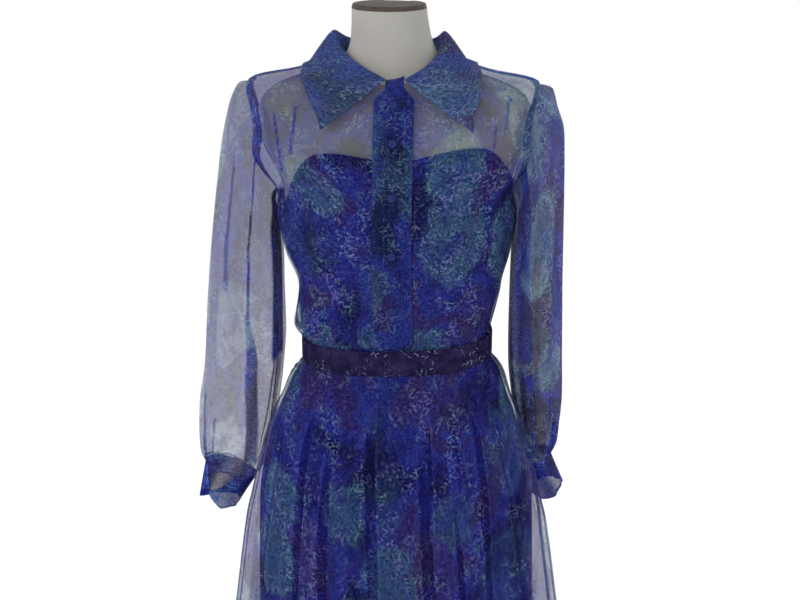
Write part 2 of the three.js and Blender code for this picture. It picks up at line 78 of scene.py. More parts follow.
MM = 0.001
EASED = math.radians(40)  # Edges that turn less than this are shaded smooth.


# ---- tables ----
def table(columns, rows):
    """Named columns of numbers, one row for each section, fold or crease."""
    return dict(zip(columns.split(), np.array(rows, float).T))


# Rings of the torso. zf, zs, zb: height at the front, sides and back. cx, cy: centre.
# a: half width. bf, bb: depth to the front and back. n: squareness. bust: rise of the bust.
RING = "zf zs zb cx cy a bf bb n bust"
FORM = table(RING, [
    (1040, 1040, 1040, 0, 0, 118, 83.4, 79.4, 2.2, 0),
    (1080, 1080, 1080, 1, 0, 119, 86.5, 81.5, 2.2, 0),
    (1130, 1130, 1130, 2, 0, 126, 96, 87.5, 2.2, 0),
    (1180, 1180, 1180, 1, 0, 139, 106, 93.5, 2.2, 5),
    (1225, 1225, 1225, 0, 0, 148, 110, 98, 2.3, 10),
    (1270, 1270, 1270, -1, 0, 151, 105, 100, 2.35, 6),
    (1312, 1325, 1315, -2, 0, 160, 98, 99, 2.4, 1),
    (1354, 1388, 1350, -3, 0, 175, 84, 90, 2.6, 0),
])
BODICE = table(RING, [
    (1040, 1040, 1040, 0, 0, 126.4, 91.7, 87.7, 2.2, 0),
    (1057, 1057, 1057, 0, 0, 127.2, 92.6, 88.6, 2.2, 0),
    (1072, 1072, 1072, -5, 0, 134, 101, 97, 2.2, 0),
    (1128, 1128, 1128, 4, 0, 137, 113, 101, 2.2, 0),
    (1175, 1175, 1175, 1, 0, 151.5, 120, 104, 2.2, 3),
    (1225, 1225, 1225, 0, 0, 160, 121, 107, 2.3, 7),
    (1255, 1255, 1255, -1, 0, 157.5, 119, 109, 2.35, 6),
    (1305, 1325, 1312, -7.5, 0, 198, 109, 107, 2.4, 1),
    (1356, 1398, 1360, -5, 0, 191, 94, 98, 2.6, 0),
    (1386, 1415, 1396, -5, 0, 126, 85, 80, 2.3, 0),
    (1406, 1433, 1414, -6, 0, 72, 78, 60, 2.1, 0),
])
SHOULDERS = {"z": (1262, 1290, 1325, 1360, 1388, 1412), "out": (0, 7, 18, 15, 7, 0), "across": (105, 165)}
BUST = {"spread": 68, "width": 40}
BUST_ROW = {"form": 4, "bodice": 5}
WAIST = {"z": 1040, "tilt": 0.045, "spread": 55}
LINING_TOP = {"centre": 1313, "peak": 1324, "peak_at": 88, "middle": 10, "end": 153, "rise": 0.045}
LINING_BACK = {"side": 1252, "middle": 1240}
LINING_EASE = 4.3
LINING_SIDE = {"gap": 1.6, "most": 10, "waist": (1048, 1078)}
HALVINGS = 26  # Steps in the search for the height of the lining's top edge.
# Armholes, left and right: middle and half depth front to back; then what both share.
ARMHOLE = {"y": (-7, 0), "half_depth": (56, 52), "z": 1325, "half_height": 73, "seam": 1.1, "inside": 1.6}
ARMHOLE_CUTTER = {"x": 195, "through": 130}
ALLOWANCE = {"front": 8.5, "back": 2}

# Rings of the two skirts, from the waist seam down.
SKIRT_RING = "z cy a bf bb"
SKIRT = table(SKIRT_RING, [
    (1040, 0, 126.4, 91.7, 87.7),
    (1021.5, 0, 127.2, 92.6, 88.6),
    (1013, -2, 135, 98, 100),
    (999, -6, 146, 104, 114),
    (968, -16, 158, 110, 136),
    (948, -22, 168, 114, 150),
    (885, -25, 187, 126, 171),
    (829, -25, 200, 135, 178),
    (801, -25, 207, 139, 182),
    (649, -25, 229, 158, 200),
    (470, -25, 252, 180, 224),
])
SKIRT_LINING = table(SKIRT_RING, [
    (1040, 0, 124, 89, 85),
    (1021.5, 0, 124.6, 89.8, 85.8),
    (1013, -2, 131, 94, 95),
    (999, -6, 141, 97, 106),
    (968, -16, 153, 101, 126),
    (948, -22, 162, 103, 138),
    (885, -25, 180, 110, 155),
    (829, -25, 189, 115, 160),
    (649, -25, 194, 122, 168),
    (495, -25, 197, 126, 172),
])
SQUARENESS = 2.2
# How the skirt's folds grow: from which height down, over what length, and to what share of their depth.
FOLD_GROWTH = ((1024, 30, 0.18), (1000, 330, 0.82))
# Hanging folds: degrees from the centre front towards +X, and depth at the hem.
FOLDS = table("angle width depth", [
    (-57, 6, 10), (-37, 5, 15), (-23, 4, 11), (-6, 5, 15), (15, 5, 14), (28, 4, 9), (41, 5, 15),
    (57, 6, 10), (76, 5, 3), (-76, 5, 3), (104, 5, 6), (124, 6, 12), (146, 5, 15), (163, 5, 11),
    (181, 6, 15), (200, 5, 12), (218, 5, 15), (237, 6, 12), (256, 5, 6),
])

# Sleeve sections: x and z of the outer and inner edge, half depth, and y of the middle.
SECTION = "outX outZ inX inZ half mid"
SLEEVES = {
    "left": table(SECTION, [
        (190, 1398, 157, 1252, 55, 2),
        (206, 1396, 161, 1242, 60, -3),
        (217, 1380, 159.5, 1228, 62, 0),
        (231, 1329, 157.5, 1200, 64, 5),
        (242, 1260, 156.5, 1160, 66, 9),
        (254, 1165, 157, 1110, 66, 12),
        (262, 1087, 157, 1058, 66, 16),
        (269, 1005, 162, 1000, 66, 22),
        (281, 935, 171, 938, 64, 28),
        (284, 885, 181, 886, 56, 31),
        (283, 860, 193, 846, 43, 31),
        (278, 848, 206, 822, 33, 28),
    ]),
    "right": table(SECTION, [
        (190, 1398, 157, 1252, 55, 2),
        (202, 1393, 157.5, 1240, 57, 1),
        (210, 1368, 156.5, 1226, 60, 3),
        (220, 1332, 154, 1195, 63, 6),
        (222, 1255, 152, 1155, 66, 10),
        (223, 1172, 151, 1105, 66, 16),
        (224, 1100, 151, 1060, 66, 26),
        (225, 1027, 152, 1005, 66, 40),
        (227, 950, 158, 940, 60, 65),
        (225, 902, 166, 898, 52, 82),
        (223, 872, 170, 868, 42, 88),
        (215, 848, 174, 844, 34, 92),
    ]),
}
# Long folds of a sleeve: degrees round from its outer edge towards the front, and depth.
SLEEVE_FOLDS = table("angle width depth", [
    (42, 9, 6), (88, 8, 13), (128, 10, 9), (168, 9, 5), (212, 10, 9), (262, 9, 12), (312, 10, 8),
])
WRIST_GATHERS = {"count": 14, "depth": 2}
# Where sleeve cloth lies folded on itself: a line of angle and height, half width, and layers. Past about two
# layers the chiffon there is also darkened by painted shade.
SLEEVE_BANDS = {
    "left": table("angle0 z0 half0 angle1 z1 half1 layers", [
        (104, 1345, 1.2, 102, 1060, 2.2, 3),
        (102, 1090, 2.4, 112, 1005, 9.6, 2.7),
        (112, 1010, 9.6, 130, 850, 12, 2.8),
        (160, 1295, 2, 160, 1195, 17, 4),
        (160, 1215, 17, 162, 1010, 17, 4),
        (164, 1020, 14, 168, 900, 8, 2),
        (66, 1310, 2, 66, 1120, 4, 2),
        (30, 960, 1, 34, 850, 2.5, 2.4),
        (62, 930, 1, 60, 850, 3, 2.4),
    ]),
    "right": table("angle0 z0 half0 angle1 z1 half1 layers", [
        (128, 1330, 20, 113, 1010, 20, 3),
        (113, 1010, 20, 112, 850, 26, 2.8),
        (52, 1100, 1.4, 50, 950, 2, 3),
        (58, 985, 1.4, 54, 920, 8, 3.2),
        (30, 920, 6, 40, 850, 16, 3),
        (70, 1260, 2, 74, 1080, 3, 2.2),
    ]),
}
# Layers of each sleeve away from its folds, at the shoulder and at the wrist: full cloth overlaps itself, and
# the right sleeve's far higher count is painted shade, darkening the side away from the key light.
SLEEVE_COVER = {"left": (0.95, 0.72), "right": (1.8, 1.75)}

# Cuffs: the far end's section, the slit's two edges (degrees, at the seam and at the far end),
# the length by angle, and how many layers the crumpled cloth comes to.
CUFFS = {
    "left": {
        "end": (286, 792, 233, 784, 36, 20),
        "slit": {"from": (-36, -66), "to": (250, 302)},
        "length": table("angle part", [
            (-66, 0.66), (-20, 0.92), (20, 1.1), (60, 1.16), (90, 1.14), (180, 0.92), (215, 0.94), (243, 1),
            (275, 0.82), (302, 0.6),
        ]),
        "layers": 3.2,
    },
    "right": {
        "end": (232, 796, 186, 785, 34, 98),
        "slit": {"from": (150, 128), "to": (468, 496)},
        "length": table("angle part", [
            (128, 0.9), (180, 0.95), (270, 1), (360, 0.98), (450, 1.1), (496, 0.9),
        ]),
        "layers": 2.7,
    },
}

# Half of the collar from its front edge to the centre back: roll line and leaf edge.
COLLAR = table("rollX rollY rollZ edgeX edgeY edgeZ seam", [
    (17, -83, 1409, 97, -99, 1351, 18),
    (37, -72, 1420, 99, -88, 1368, 32),
    (55, -51, 1432, 102, -69, 1386, 52),
    (66, -22, 1444, 105, -38, 1404, 75),
    (73, 5, 1463, 108.5, 3, 1417, 95),
    (61, 38, 1450, 101, 52, 1403, 122),
    (36, 56, 1442, 62, 86, 1388, 152),
    (0, 62, 1439, 0, 97, 1382, 180),
])
COLLAR_SHIFT = {"front": 8, "frontY": -98, "side": -10.5}
COLLAR_REST = {"lift": 3.4, "front_lift": 1, "heart": (-5, 0, 1330)}
BELT = {"bottom": 1023, "top": 1057, "width": 130.2, "front": 95.6, "back": 91.6, "wall": 2}
BAND = {"centre": 4, "half": 25.5, "top_half": 11.5, "lift": 1.4}
BUTTONS = {"radius": 5.5, "rise": 2.6, "lift": 0.2, "heights": (1382, 1336, 1270, 1195, 1120)}

# Creases of the bodice, seen from the front or back: two ends, half width and height (- is a trough).
CREASE = "x0 z0 x1 z1 width height"
CREASES = {
    "bodice_front_left": table(CREASE, [
        (-122, 1382, -128.5, 1317, 1.6, 1.6),
        (-151, 1368, -139, 1292, 1.6, 1.6),
        (-116, 1262, -112, 1180, 9, -4),
        (-88, 1150, -96, 1062, 8, -4),
        (-52, 1140, -60, 1060, 7, 3),
        (-20, 1120, -30, 1060, 6, -3),
        (-70, 1110, -76, 1060, 5, 2.5),
        (-40, 1290, -70, 1200, 12, 1.8),
    ]),
    "bodice_front_right": table(CREASE, [
        (150, 1400, 144, 1342, 1.6, 1.6),
        (132, 1357, 130.5, 1328, 1.6, 1.6),
        (118, 1262, 120, 1210, 8, -4),
        (108, 1190, 104, 1130, 7, -4),
        (96, 1150, 104, 1066, 8, 3.5),
        (62, 1140, 70, 1064, 7, -4),
        (34, 1130, 40, 1062, 6, 3),
        (84, 1110, 90, 1064, 5, -3),
        (50, 1285, 78, 1200, 12, 1.8),
    ]),
    "bodice_back": table(CREASE, [
        (-120, 1250, -104, 1110, 9, -5),
        (-80, 1200, -74, 1060, 8, 4),
        (-46, 1160, -44, 1060, 8, -5),
        (-10, 1180, -8, 1060, 9, 4),
        (26, 1160, 26, 1060, 8, -5),
        (58, 1200, 56, 1060, 8, 4),
        (96, 1190, 84, 1062, 8, -5),
        (124, 1260, 112, 1120, 9, -4),
        (-60, 1330, -30, 1230, 14, 2),
        (66, 1330, 36, 1230, 14, 2),
    ]),
}

# Bodice panels: start and end in degrees, columns, sides with an armhole, and sewn edges (is it the first?).
PANELS = {
    "bodice_front_left": (-90, 0, 90, (-1,), (True,)),
    "bodice_front_right": (0, 90, 90, (1,), (False,)),
    "bodice_back": (90, 270, 170, (-1, 1), (True, False)),
}
HALVES = (("front", -90, 90), ("back", 90, 270))
SIDES = (("left", -1), ("right", 1))
TUCK_WIDTH = 2
# Widths of hems, facings and seam allowances.
WIDTHS = {"armhole": 3, "facing": 16, "hem": 12, "wrist_seam": 3, "cuff_hem": 3.5, "collar": 5, "band": 4}
# Rows of stitches: distance from the edge, depth and width of the groove.
STITCHES = {"collar": (5, 0.4, 1.2), "band": (4, 0.35, 1.1), "belt": (3.5, 0.3, 0.9)}

# How many layers a place comes to: a single panel counts a little less than one, for its open weave.
# Past about two layers, the printed chiffon is also darkened by painted shade; the pleats' count is set high
# for the painted shade in the skirt's folds.
LAYERS = {
    "bodice": 0.9, "bodice_seam": 4.5, "armhole": 2.4, "tuck": 3, "facing": 2,
    "skirt": 0.8, "skirt_seam": 1.2, "hem": 2.4, "pleat_and_shade": 3.8,
    "allowance": 2.6, "wrist_seam": 3, "cuff_hem": 4, "collar": 3.2, "collar_edge": 6,
    "band": 2.6, "band_edge": 5, "button": 8.0,
}
# Each printed chiffon: the colour of the painted shade multiplied in where it lies folded, the layers over
# which that painted shade comes in, and the strength of its pale patches, of a pale wash all over and of its
# strokes.
CHIFFONS = {
    "printed silk chiffon": ("fold", (1.8, 3.4), 1.0, 0.0, 1.0),
    "gathered printed chiffon": ("valley", (1.4, 3.2), 1.0, 0.0, 0.8),
    "doubled printed chiffon": ("faced", (0, 1), 0.4, 0.27, 0.6),
    "banded printed chiffon": ("banded", (0, 1), 0.5, 0.05, 0.6),
}
# A range that is mapped in a soft step.
SOFT = {"interpolation_type": "SMOOTHSTEP"}
# Strokes of the print, in metres: spacing, length and shift of each size.
STROKES = ((0.0054, 0.0060, (0.1, 0.2, 0)), (0.0064, 0.0072, (3.3, 1.7, 0)), (0.0046, 0.0042, (5.9, 4.1, 0)))
STROKE_WIDTH = 0.0006
SILK_IOR = 1.45

# The stage, in metres and degrees. Lights: place, size and share of the key's power.
LIGHTS = {"key": ((-1.9, -2.3, 2.6), 1.4, 1.0), "rim": ((1.6, 2.2, 2.2), 1.4, 0.35)}
LIT = (0, 0, 1.15)
CAMERA = {"azimuth": 5, "pitch": 17, "distance": 2.15, "target": (0.0041, 0, 1.1), "sensor": 36}
PAPER_GLOW = 0.12


# ---- curves and surfaces ----
def smoothstep(x, low, high):
    """A soft step from 0 at low to 1 at high."""
    t = np.clip((x - low) / (high - low), 0, 1)
    return t * t * (3 - 2 * t)


def lerp(p, q, t):
    return p + (q - p) * t


def power(value, exponent):
    """A power that keeps the sign."""
    return np.sign(value) * np.abs(value) ** exponent


def unit(vectors):
    return vectors / np.maximum(np.linalg.norm(vectors, axis=-1, keepdims=True), 1e-9)


def last_row(rows):
    """The number of a table's last row."""
    return len(next(iter(rows.values()))) - 1


def row_at(rows, position):
    """Rows worked out between a table's rows, without overshoot, and straight on past its end."""
    last = last_row(rows)
    i = np.clip(np.floor(position), 0, last - 1).astype(int)
    f = position - i
    out = {}
    for key, values in rows.items():
        step = np.diff(values)
        total = np.where(step[:-1] * step[1:] > 0, step[:-1] + step[1:], 1)
        inner = np.where(step[:-1] * step[1:] > 0, 2 * step[:-1] * step[1:] / total, 0)
        slope = np.concatenate([step[:1], inner, step[-1:]])
        p, q = values[i], values[i + 1]
        curve = p * (1 + 2 * f) * (1 - f) ** 2 + q * f * f * (3 - 2 * f)
        curve = curve + slope[i] * f * (1 - f) ** 2 - slope[i + 1] * f * f * (1 - f)
        out[key] = np.where(f > 1, q + (f - 1) * slope[last], curve)
    return out


def ring_point(ring, angle):
    """A point on a torso ring; the angle runs from the centre front towards +X."""
    s, c = np.sin(angle), np.cos(angle)
    across = ring["a"] * power(s, 2 / ring["n"])
    end = np.where(c > 0, ring["zf"], ring["zb"])
    hump = ring["bust"] * np.exp(-(((np.abs(across) - BUST["spread"]) / BUST["width"]) ** 2))
    depth = np.where(c > 0, ring["bf"], ring["bb"])
    y = ring["cy"] - power(c, 2 / ring["n"]) * depth - np.where(c > 0, hump, 0)
    z = ring["zs"] + (end - ring["zs"]) * c * c
    return np.stack([ring["cx"] + across, y, z], -1)


def tilted(points):
    """The waist rises a little towards +X."""
    x, z = points[..., 0], points[..., 2]
    rise = WAIST["tilt"] * x * np.exp(-(((z - WAIST["z"]) / WAIST["spread"]) ** 2))
    return points + rise[..., None] * np.array([0, 0, 1])


def normals_of(points, closed=False):
    """Outward normals of a grid of points, rows by columns."""
    if closed:
        along = np.roll(points, -1, axis=1) - np.roll(points, 1, axis=1)
    else:
        along = np.gradient(points, axis=1)
    return unit(np.cross(along, np.gradient(points, axis=0)))


def pushed(points, height, closed=False):
    """Moves each point of a grid along its normal."""
    return points + normals_of(points, closed) * np.asarray(height)[..., None]


def evenly(places, steps, count):
    """A count of places an even length apart; steps are the lengths between the finer places given."""
    travelled = np.concatenate([[0], np.cumsum(steps)])
    return np.interp(np.linspace(0, travelled[-1], count), travelled, places)


def even_levels(rows, key, count):
    """Positions in a table whose heights are evenly spaced."""
    fine = np.linspace(0, last_row(rows), 400)
    return evenly(fine, np.abs(np.diff(row_at(rows, fine)[key])), count)


def fold_depth(folds, degrees):
    """How deep all the folds of a table are at an angle."""
    total = np.zeros_like(degrees)
    for angle, width, depth in zip(folds["angle"], folds["width"], folds["depth"]):
        away = (degrees - angle + 540) % 360 - 180
        total = total + depth * np.exp(-((away / width) ** 2))
    return total


def pleat_share(folds, degrees, heights):
    """Where the cloth lies double in the folds, from 0 to 1: soft on one side, crisp on the other. Its layers
    also bring in the painted shade of the folds.
    """
    total = np.zeros_like(degrees)
    for angle, width, depth in zip(folds["angle"], folds["width"], folds["depth"]):
        wander = 1.3 * np.sin(heights / 95 + angle)
        away = ((degrees - angle - wander + 540) % 360 - 180) / width
        soft = smoothstep(away, -1.15, 0.2) * (1 - smoothstep(away, 0.45, 0.65))
        total = np.maximum(total, min(depth / 13, 1) * soft)
    return total


def line_share(across, up, x0, z0, x1, z1):
    """Distance from a line between two points, and how far along it each point is."""
    run = np.array([x1 - x0, z1 - z0])
    t = ((across - x0) * run[0] + (up - z0) * run[1]) / (run @ run)
    near = np.clip(t, 0, 1)
    away = np.hypot(across - x0 - near * run[0], up - z0 - near * run[1])
    return away, t


def crease_height(creases, points):
    """The height of a piece's creases, in the plane seen from the front."""
    total = np.zeros(points.shape[:-1])
    for x0, z0, x1, z1, width, height in zip(*creases.values()):
        away, t = line_share(points[..., 0], points[..., 2], x0, z0, x1, z1)
        fade = smoothstep(t, -0.15, 0.35) * (1 - smoothstep(t, 0.75, 1.15))
        total = total + height * fade * np.exp(-((away / width) ** 2))
    return total


def waves(x, parts):
    """A sum of unequal waves, for ripples that never quite repeat."""
    return sum(size * np.sin(x * 2 * math.pi / length + shift) for length, size, shift in parts)


# ---- meshes ----
def deselect():
    bpy.ops.object.select_all(action="DESELECT")


def activate(piece):
    deselect()
    piece.select_set(True)
    bpy.context.view_layer.objects.active = piece


def apply_modifier(piece, kind, **settings):
    activate(piece)
    modifier = piece.modifiers.new(kind.title(), kind)
    for name, value in settings.items():
        setattr(modifier, name, value)
    bpy.ops.object.modifier_apply(modifier=modifier.name)


def cloth_piece(name, points, thickness, closed=False, layers=1.0, shift=(0, 0)):
    """A thin shell of cloth whose outer face is the grid; its UV map is in metres along the cloth."""
    rows, wide = points.shape[:2]
    grid = points * MM
    ring = np.concatenate([grid, grid[:, :1]], 1) if closed else grid
    along = np.linalg.norm(np.diff(ring, axis=1), axis=-1)
    u = np.concatenate([np.zeros((rows, 1)), np.cumsum(along, 1)], 1)
    u -= u.mean(1, keepdims=True)
    down = np.linalg.norm(np.diff(ring, axis=0), axis=-1).mean(1)
    v = np.concatenate([[0], np.cumsum(down)])
    columns = wide if closed else wide - 1
    i, j = np.meshgrid(np.arange(columns), np.arange(rows - 1))
    i, j = i.ravel(), j.ravel()
    k = (i + 1) % wide
    faces = np.stack([j * wide + i, j * wide + k, (j + 1) * wide + k, (j + 1) * wide + i], -1)
    mesh = bpy.data.meshes.new(name)
    mesh.from_pydata(grid.reshape(-1, 3).tolist(), [], faces.tolist())
    uv = mesh.uv_layers.new(name="UVMap")
    corner_u = np.stack([u[j, i], u[j, i + 1], u[j + 1, i + 1], u[j + 1, i]], -1) + shift[0]
    corner_v = np.stack([v[j], v[j], v[j + 1], v[j + 1]], -1) + shift[1]
    uv.uv.foreach_set("vector", np.stack([corner_u, corner_v], -1).ravel())
    attribute = mesh.attributes.new("layers", "FLOAT", "POINT")
    attribute.data.foreach_set("value", np.broadcast_to(layers, (rows, wide)).ravel())
    piece = bpy.data.objects.new(name, mesh)
    bpy.context.scene.collection.objects.link(piece)
    activate(piece)
    bpy.ops.object.shade_smooth()
    apply_modifier(piece, "SOLIDIFY", thickness=thickness, offset=-1)
    return piece


def hand_over(piece, material, node):
    """Gives a finished piece its material and its body, and hides the imported node that it stands for."""
    piece.data.materials.clear()
    piece.data.materials.append(material)
    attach(piece, "root")
    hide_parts(node)


# ---- materials ----
def linear(code):
    """An sRGB hex colour as linear red, green and blue."""
    channels = [int(code[i:i + 2], 16) / 255 for i in (1, 3, 5)]
    return [c / 12.92 if c <= 0.04045 else ((c + 0.055) / 1.055) ** 2.4 for c in channels]


def feed(tree, node, inputs):
    """Sets a node's inputs: a node or a socket is linked, and a plain value is set."""
    for key, value in inputs.items():
        socket = node.inputs[key]
        if isinstance(value, bpy.types.Node):
            value = next(output for output in value.outputs if output.enabled)
        if isinstance(value, bpy.types.NodeSocket):
            tree.links.new(value, socket)
        else:
            socket.default_value = (*value, 1) if socket.type == "RGBA" else value


def add_node(tree, kind, inputs, stops=(), **settings):
    """Adds a node with its settings and its inputs; stops are a ramp's places and linear colours."""
    made = tree.nodes.new("ShaderNode" + kind)
    for name, value in settings.items():
        setattr(made, name, value)
    feed(tree, made, inputs)
    if stops:
        elements = made.color_ramp.elements
        while len(elements) < len(stops):
            elements.new(0.5)
        for element, (place, colour) in zip(elements, stops):
            element.position = place
            element.color = (*colour, 1)
    return made


def new_material(name):
    """A material with only a Principled shader and an output, and the function that adds its nodes."""
    material = bpy.data.materials.new(name)
    material.use_nodes = True
    tree = material.node_tree
    tree.nodes.clear()
    shader = add_node(tree, "BsdfPrincipled", {})
    add_node(tree, "OutputMaterial", {"Surface": shader})
    return material, partial(add_node, tree), partial(feed, tree, shader)


# The patterns below are given add, which adds a node to the material they are part of.
def patches(add, place, size, shift, detail=3.0, roughness=0.5, distortion=0.0, flat=True):
    """Uneven patches about size metres across; flat ones lie in the UV plane."""
    moved = add("Mapping", {"Vector": place, "Location": shift})
    return add("TexNoise", {
        "Vector": moved, "Scale": 1 / size, "Detail": detail,
        "Roughness": roughness, "Distortion": distortion,
    }, noise_dimensions="2D" if flat else "3D")


def wavering(add, uv, size, reach):
    """The UV place pushed about by up to reach metres, in waves about size metres long."""
    made = add("TexNoise", {"Vector": uv, "Scale": 1 / size, "Detail": 1.0}, noise_dimensions="2D")
    push = add("VectorMath", {0: made.outputs["Color"], 1: (0.5,) * 3}, operation="SUBTRACT")
    return add("VectorMath", {0: push, 1: (reach * 2,) * 3, 2: uv}, operation="MULTIPLY_ADD")


def cells(add, uv, size, shift, randomness=1.0):
    """Scattered cells: the scaled place, the distance to the cell's middle, that middle, three chances."""
    scaled = add("Mapping", {"Vector": uv, "Location": shift, "Scale": (1 / size, 1 / size, 0)})
    made = add("TexVoronoi", {
        "Vector": scaled, "Scale": 1.0, "Randomness": randomness,
    }, voronoi_dimensions="2D")
    chance = add("SeparateColor", {"Color": made.outputs["Color"]})
    return scaled, made.outputs["Distance"], made.outputs["Position"], chance.outputs


def strokes(add, uv, cell, length, width, shift):
    """Short curved brush strokes, one to a cell, each turned its own way; sizes in metres."""
    scaled, _, middle, chance = cells(add, uv, cell, shift)
    from_middle = add("VectorMath", {0: scaled, 1: middle}, operation="SUBTRACT")
    angle = add("Math", {0: chance["Red"], 1: 2 * math.pi}, operation="MULTIPLY")
    turned = add("VectorRotate", {"Vector": from_middle, "Angle": angle}, rotation_type="Z_AXIS")
    place = add("SeparateXYZ", {"Vector": turned}).outputs
    bend = add("Math", {0: chance["Green"], 1: 2.0, 2: -1.0}, operation="MULTIPLY_ADD")
    square = add("Math", {0: place["Y"], 1: place["Y"]}, operation="MULTIPLY")
    curve = add("Math", {0: bend, 1: square}, operation="MULTIPLY")
    sideways = add("Math", {0: place["X"], 1: curve}, operation="ADD")
    thin = add("MapRange", {
        "Value": add("Math", {0: sideways}, operation="ABSOLUTE"),
        "From Min": width / cell, "From Max": 0.25 * width / cell,
    }, **SOFT)
    short = add("MapRange", {
        "Value": add("Math", {0: place["Y"]}, operation="ABSOLUTE"),
        "From Min": 0.55 * length / cell, "From Max": 0.35 * length / cell,
    }, **SOFT)
    inky = add("MapRange", {"Value": chance["Blue"], "From Min": 0.3, "From Max": 0.9}, **SOFT)
    line = add("Math", {0: thin, 1: short}, operation="MULTIPLY")
    return add("Math", {0: line, 1: inky}, operation="MULTIPLY")


def printed(add, uv, colours, patchy, washed, inked):
    """The print: dark blots that run together, feathery pale patches, and fine curved strokes over all.
    Returns its colour, and how much of each place is a pale patch, grain and stroke."""
    size = bpy.context.scene.dress_sizes
    drawn_out = add("Mapping", {"Vector": uv, "Scale": (1, 0.72, 1)})
    blots = patches(add, drawn_out, size.blot, (0.31, 0.17, 0), 3.5, 0.6, 0.3)
    ground = add("ValToRGB", {"Fac": blots}, [
        (0.36, colours.navy), (0.46, colours.indigo), (0.55, colours.royal), (0.64, colours.violet),
    ])
    # The pale patches: feathery edges, a cloudy middle, and a rim that holds more of the strokes.
    feathered = wavering(add, wavering(add, drawn_out, 0.03, 0.012), 0.004, 0.0035)
    _, away, _, chance = cells(add, feathered, size.patch, (0.4, 0.7, 0), 0.8)
    radius = add("Math", {0: chance["Green"], 1: 0.25, 2: 0.3}, operation="MULTIPLY_ADD")
    away = add("Math", {0: away, 1: radius}, operation="DIVIDE")
    inside = add("MapRange", {"Value": away, "From Min": 1.12, "From Max": 0.86}, **SOFT)
    outer = add("MapRange", {"Value": away, "From Min": 0.5, "From Max": 0.85}, **SOFT)
    rim = add("Math", {0: inside, 1: outer}, operation="MULTIPLY")
    pale = add("MapRange", {"Value": chance["Red"], "From Min": 0.35, "From Max": 0.6}, **SOFT)
    clouds = patches(add, feathered, 0.022, (2.1, 0.3, 0), 4.0, 0.7)
    cloudy = add("ValToRGB", {"Fac": clouds}, [(0.36, (0.12,) * 3), (0.62, (1.0,) * 3)])
    pale_inside = add("Math", {0: inside, 1: pale}, operation="MULTIPLY")
    teal = add("Math", {0: pale_inside, 1: cloudy}, operation="MULTIPLY")
    teal = add("Math", {0: teal, 1: patchy, 2: washed}, operation="MULTIPLY_ADD")
    tealed = add("Mix", {0: teal, 6: ground, 7: colours.teal}, data_type="RGBA")
    reddish = add("MapRange", {"Value": chance["Red"], "From Min": 0.3, "From Max": 0.15}, **SOFT)
    plum = add("Math", {0: inside, 1: reddish}, operation="MULTIPLY")
    plum = add("Math", {0: plum, 1: 0.4}, operation="MULTIPLY")
    tealed = add("Mix", {0: plum, 6: tealed, 7: colours.mauve}, data_type="RGBA")
    # The mottled grain over blots and patches.
    grain = patches(add, uv, 0.004, (0, 0, 0), 3.0, 0.75)
    grained = add("ValToRGB", {"Fac": grain}, [(0.34, (0.12, 0.1, 0.22)), (0.66, (0.9, 0.88, 0.78))])
    mottled = add("Mix", {0: 0.7, 6: tealed, 7: grained}, data_type="RGBA", blend_type="OVERLAY")
    # The strokes, in groups and along the rims.
    groups = patches(add, drawn_out, 0.035, (8.5, 3.3, 0), 2.0, 0.6)
    scattered = add("MapRange", {"Value": groups, "From Min": 0.47, "From Max": 0.6}, **SOFT)
    scattered = add("Math", {0: scattered, 1: 0.65, 2: 0.2}, operation="MULTIPLY_ADD")
    pale_rim = add("Math", {0: rim, 1: pale}, operation="MULTIPLY")
    where = add("Math", {0: pale_rim, 1: scattered}, operation="MAXIMUM")
    drawn = 0.0
    for cell, length, shift in STROKES:
        fine = strokes(add, uv, cell, length, STROKE_WIDTH, shift)
        drawn = add("Math", {0: fine, 1: drawn}, operation="MAXIMUM")
    hue = patches(add, uv, 0.03, (1.5, 9.2, 0), 0.0)
    stroke_colour = add("ValToRGB", {"Fac": hue}, [(0.42, colours.lilac), (0.58, colours.mint)])
    share = add("Math", {0: drawn, 1: where}, operation="MULTIPLY")
    share = add("Math", {0: share, 1: size.drawn * inked}, operation="MULTIPLY")
    return add("Mix", {0: share, 6: mottled, 7: stroke_colour}, data_type="RGBA"), teal, grain, share


def crepe(add, uv, strength):
    """Crepe grain: crinkles about 2 mm apart, drawn coarser than real so that they show."""
    crinkles = patches(add, uv, 0.0022, (0, 0, 0), 2.0, 0.6)
    return add("Bump", {"Height": crinkles, "Strength": strength, "Distance": 0.0006})


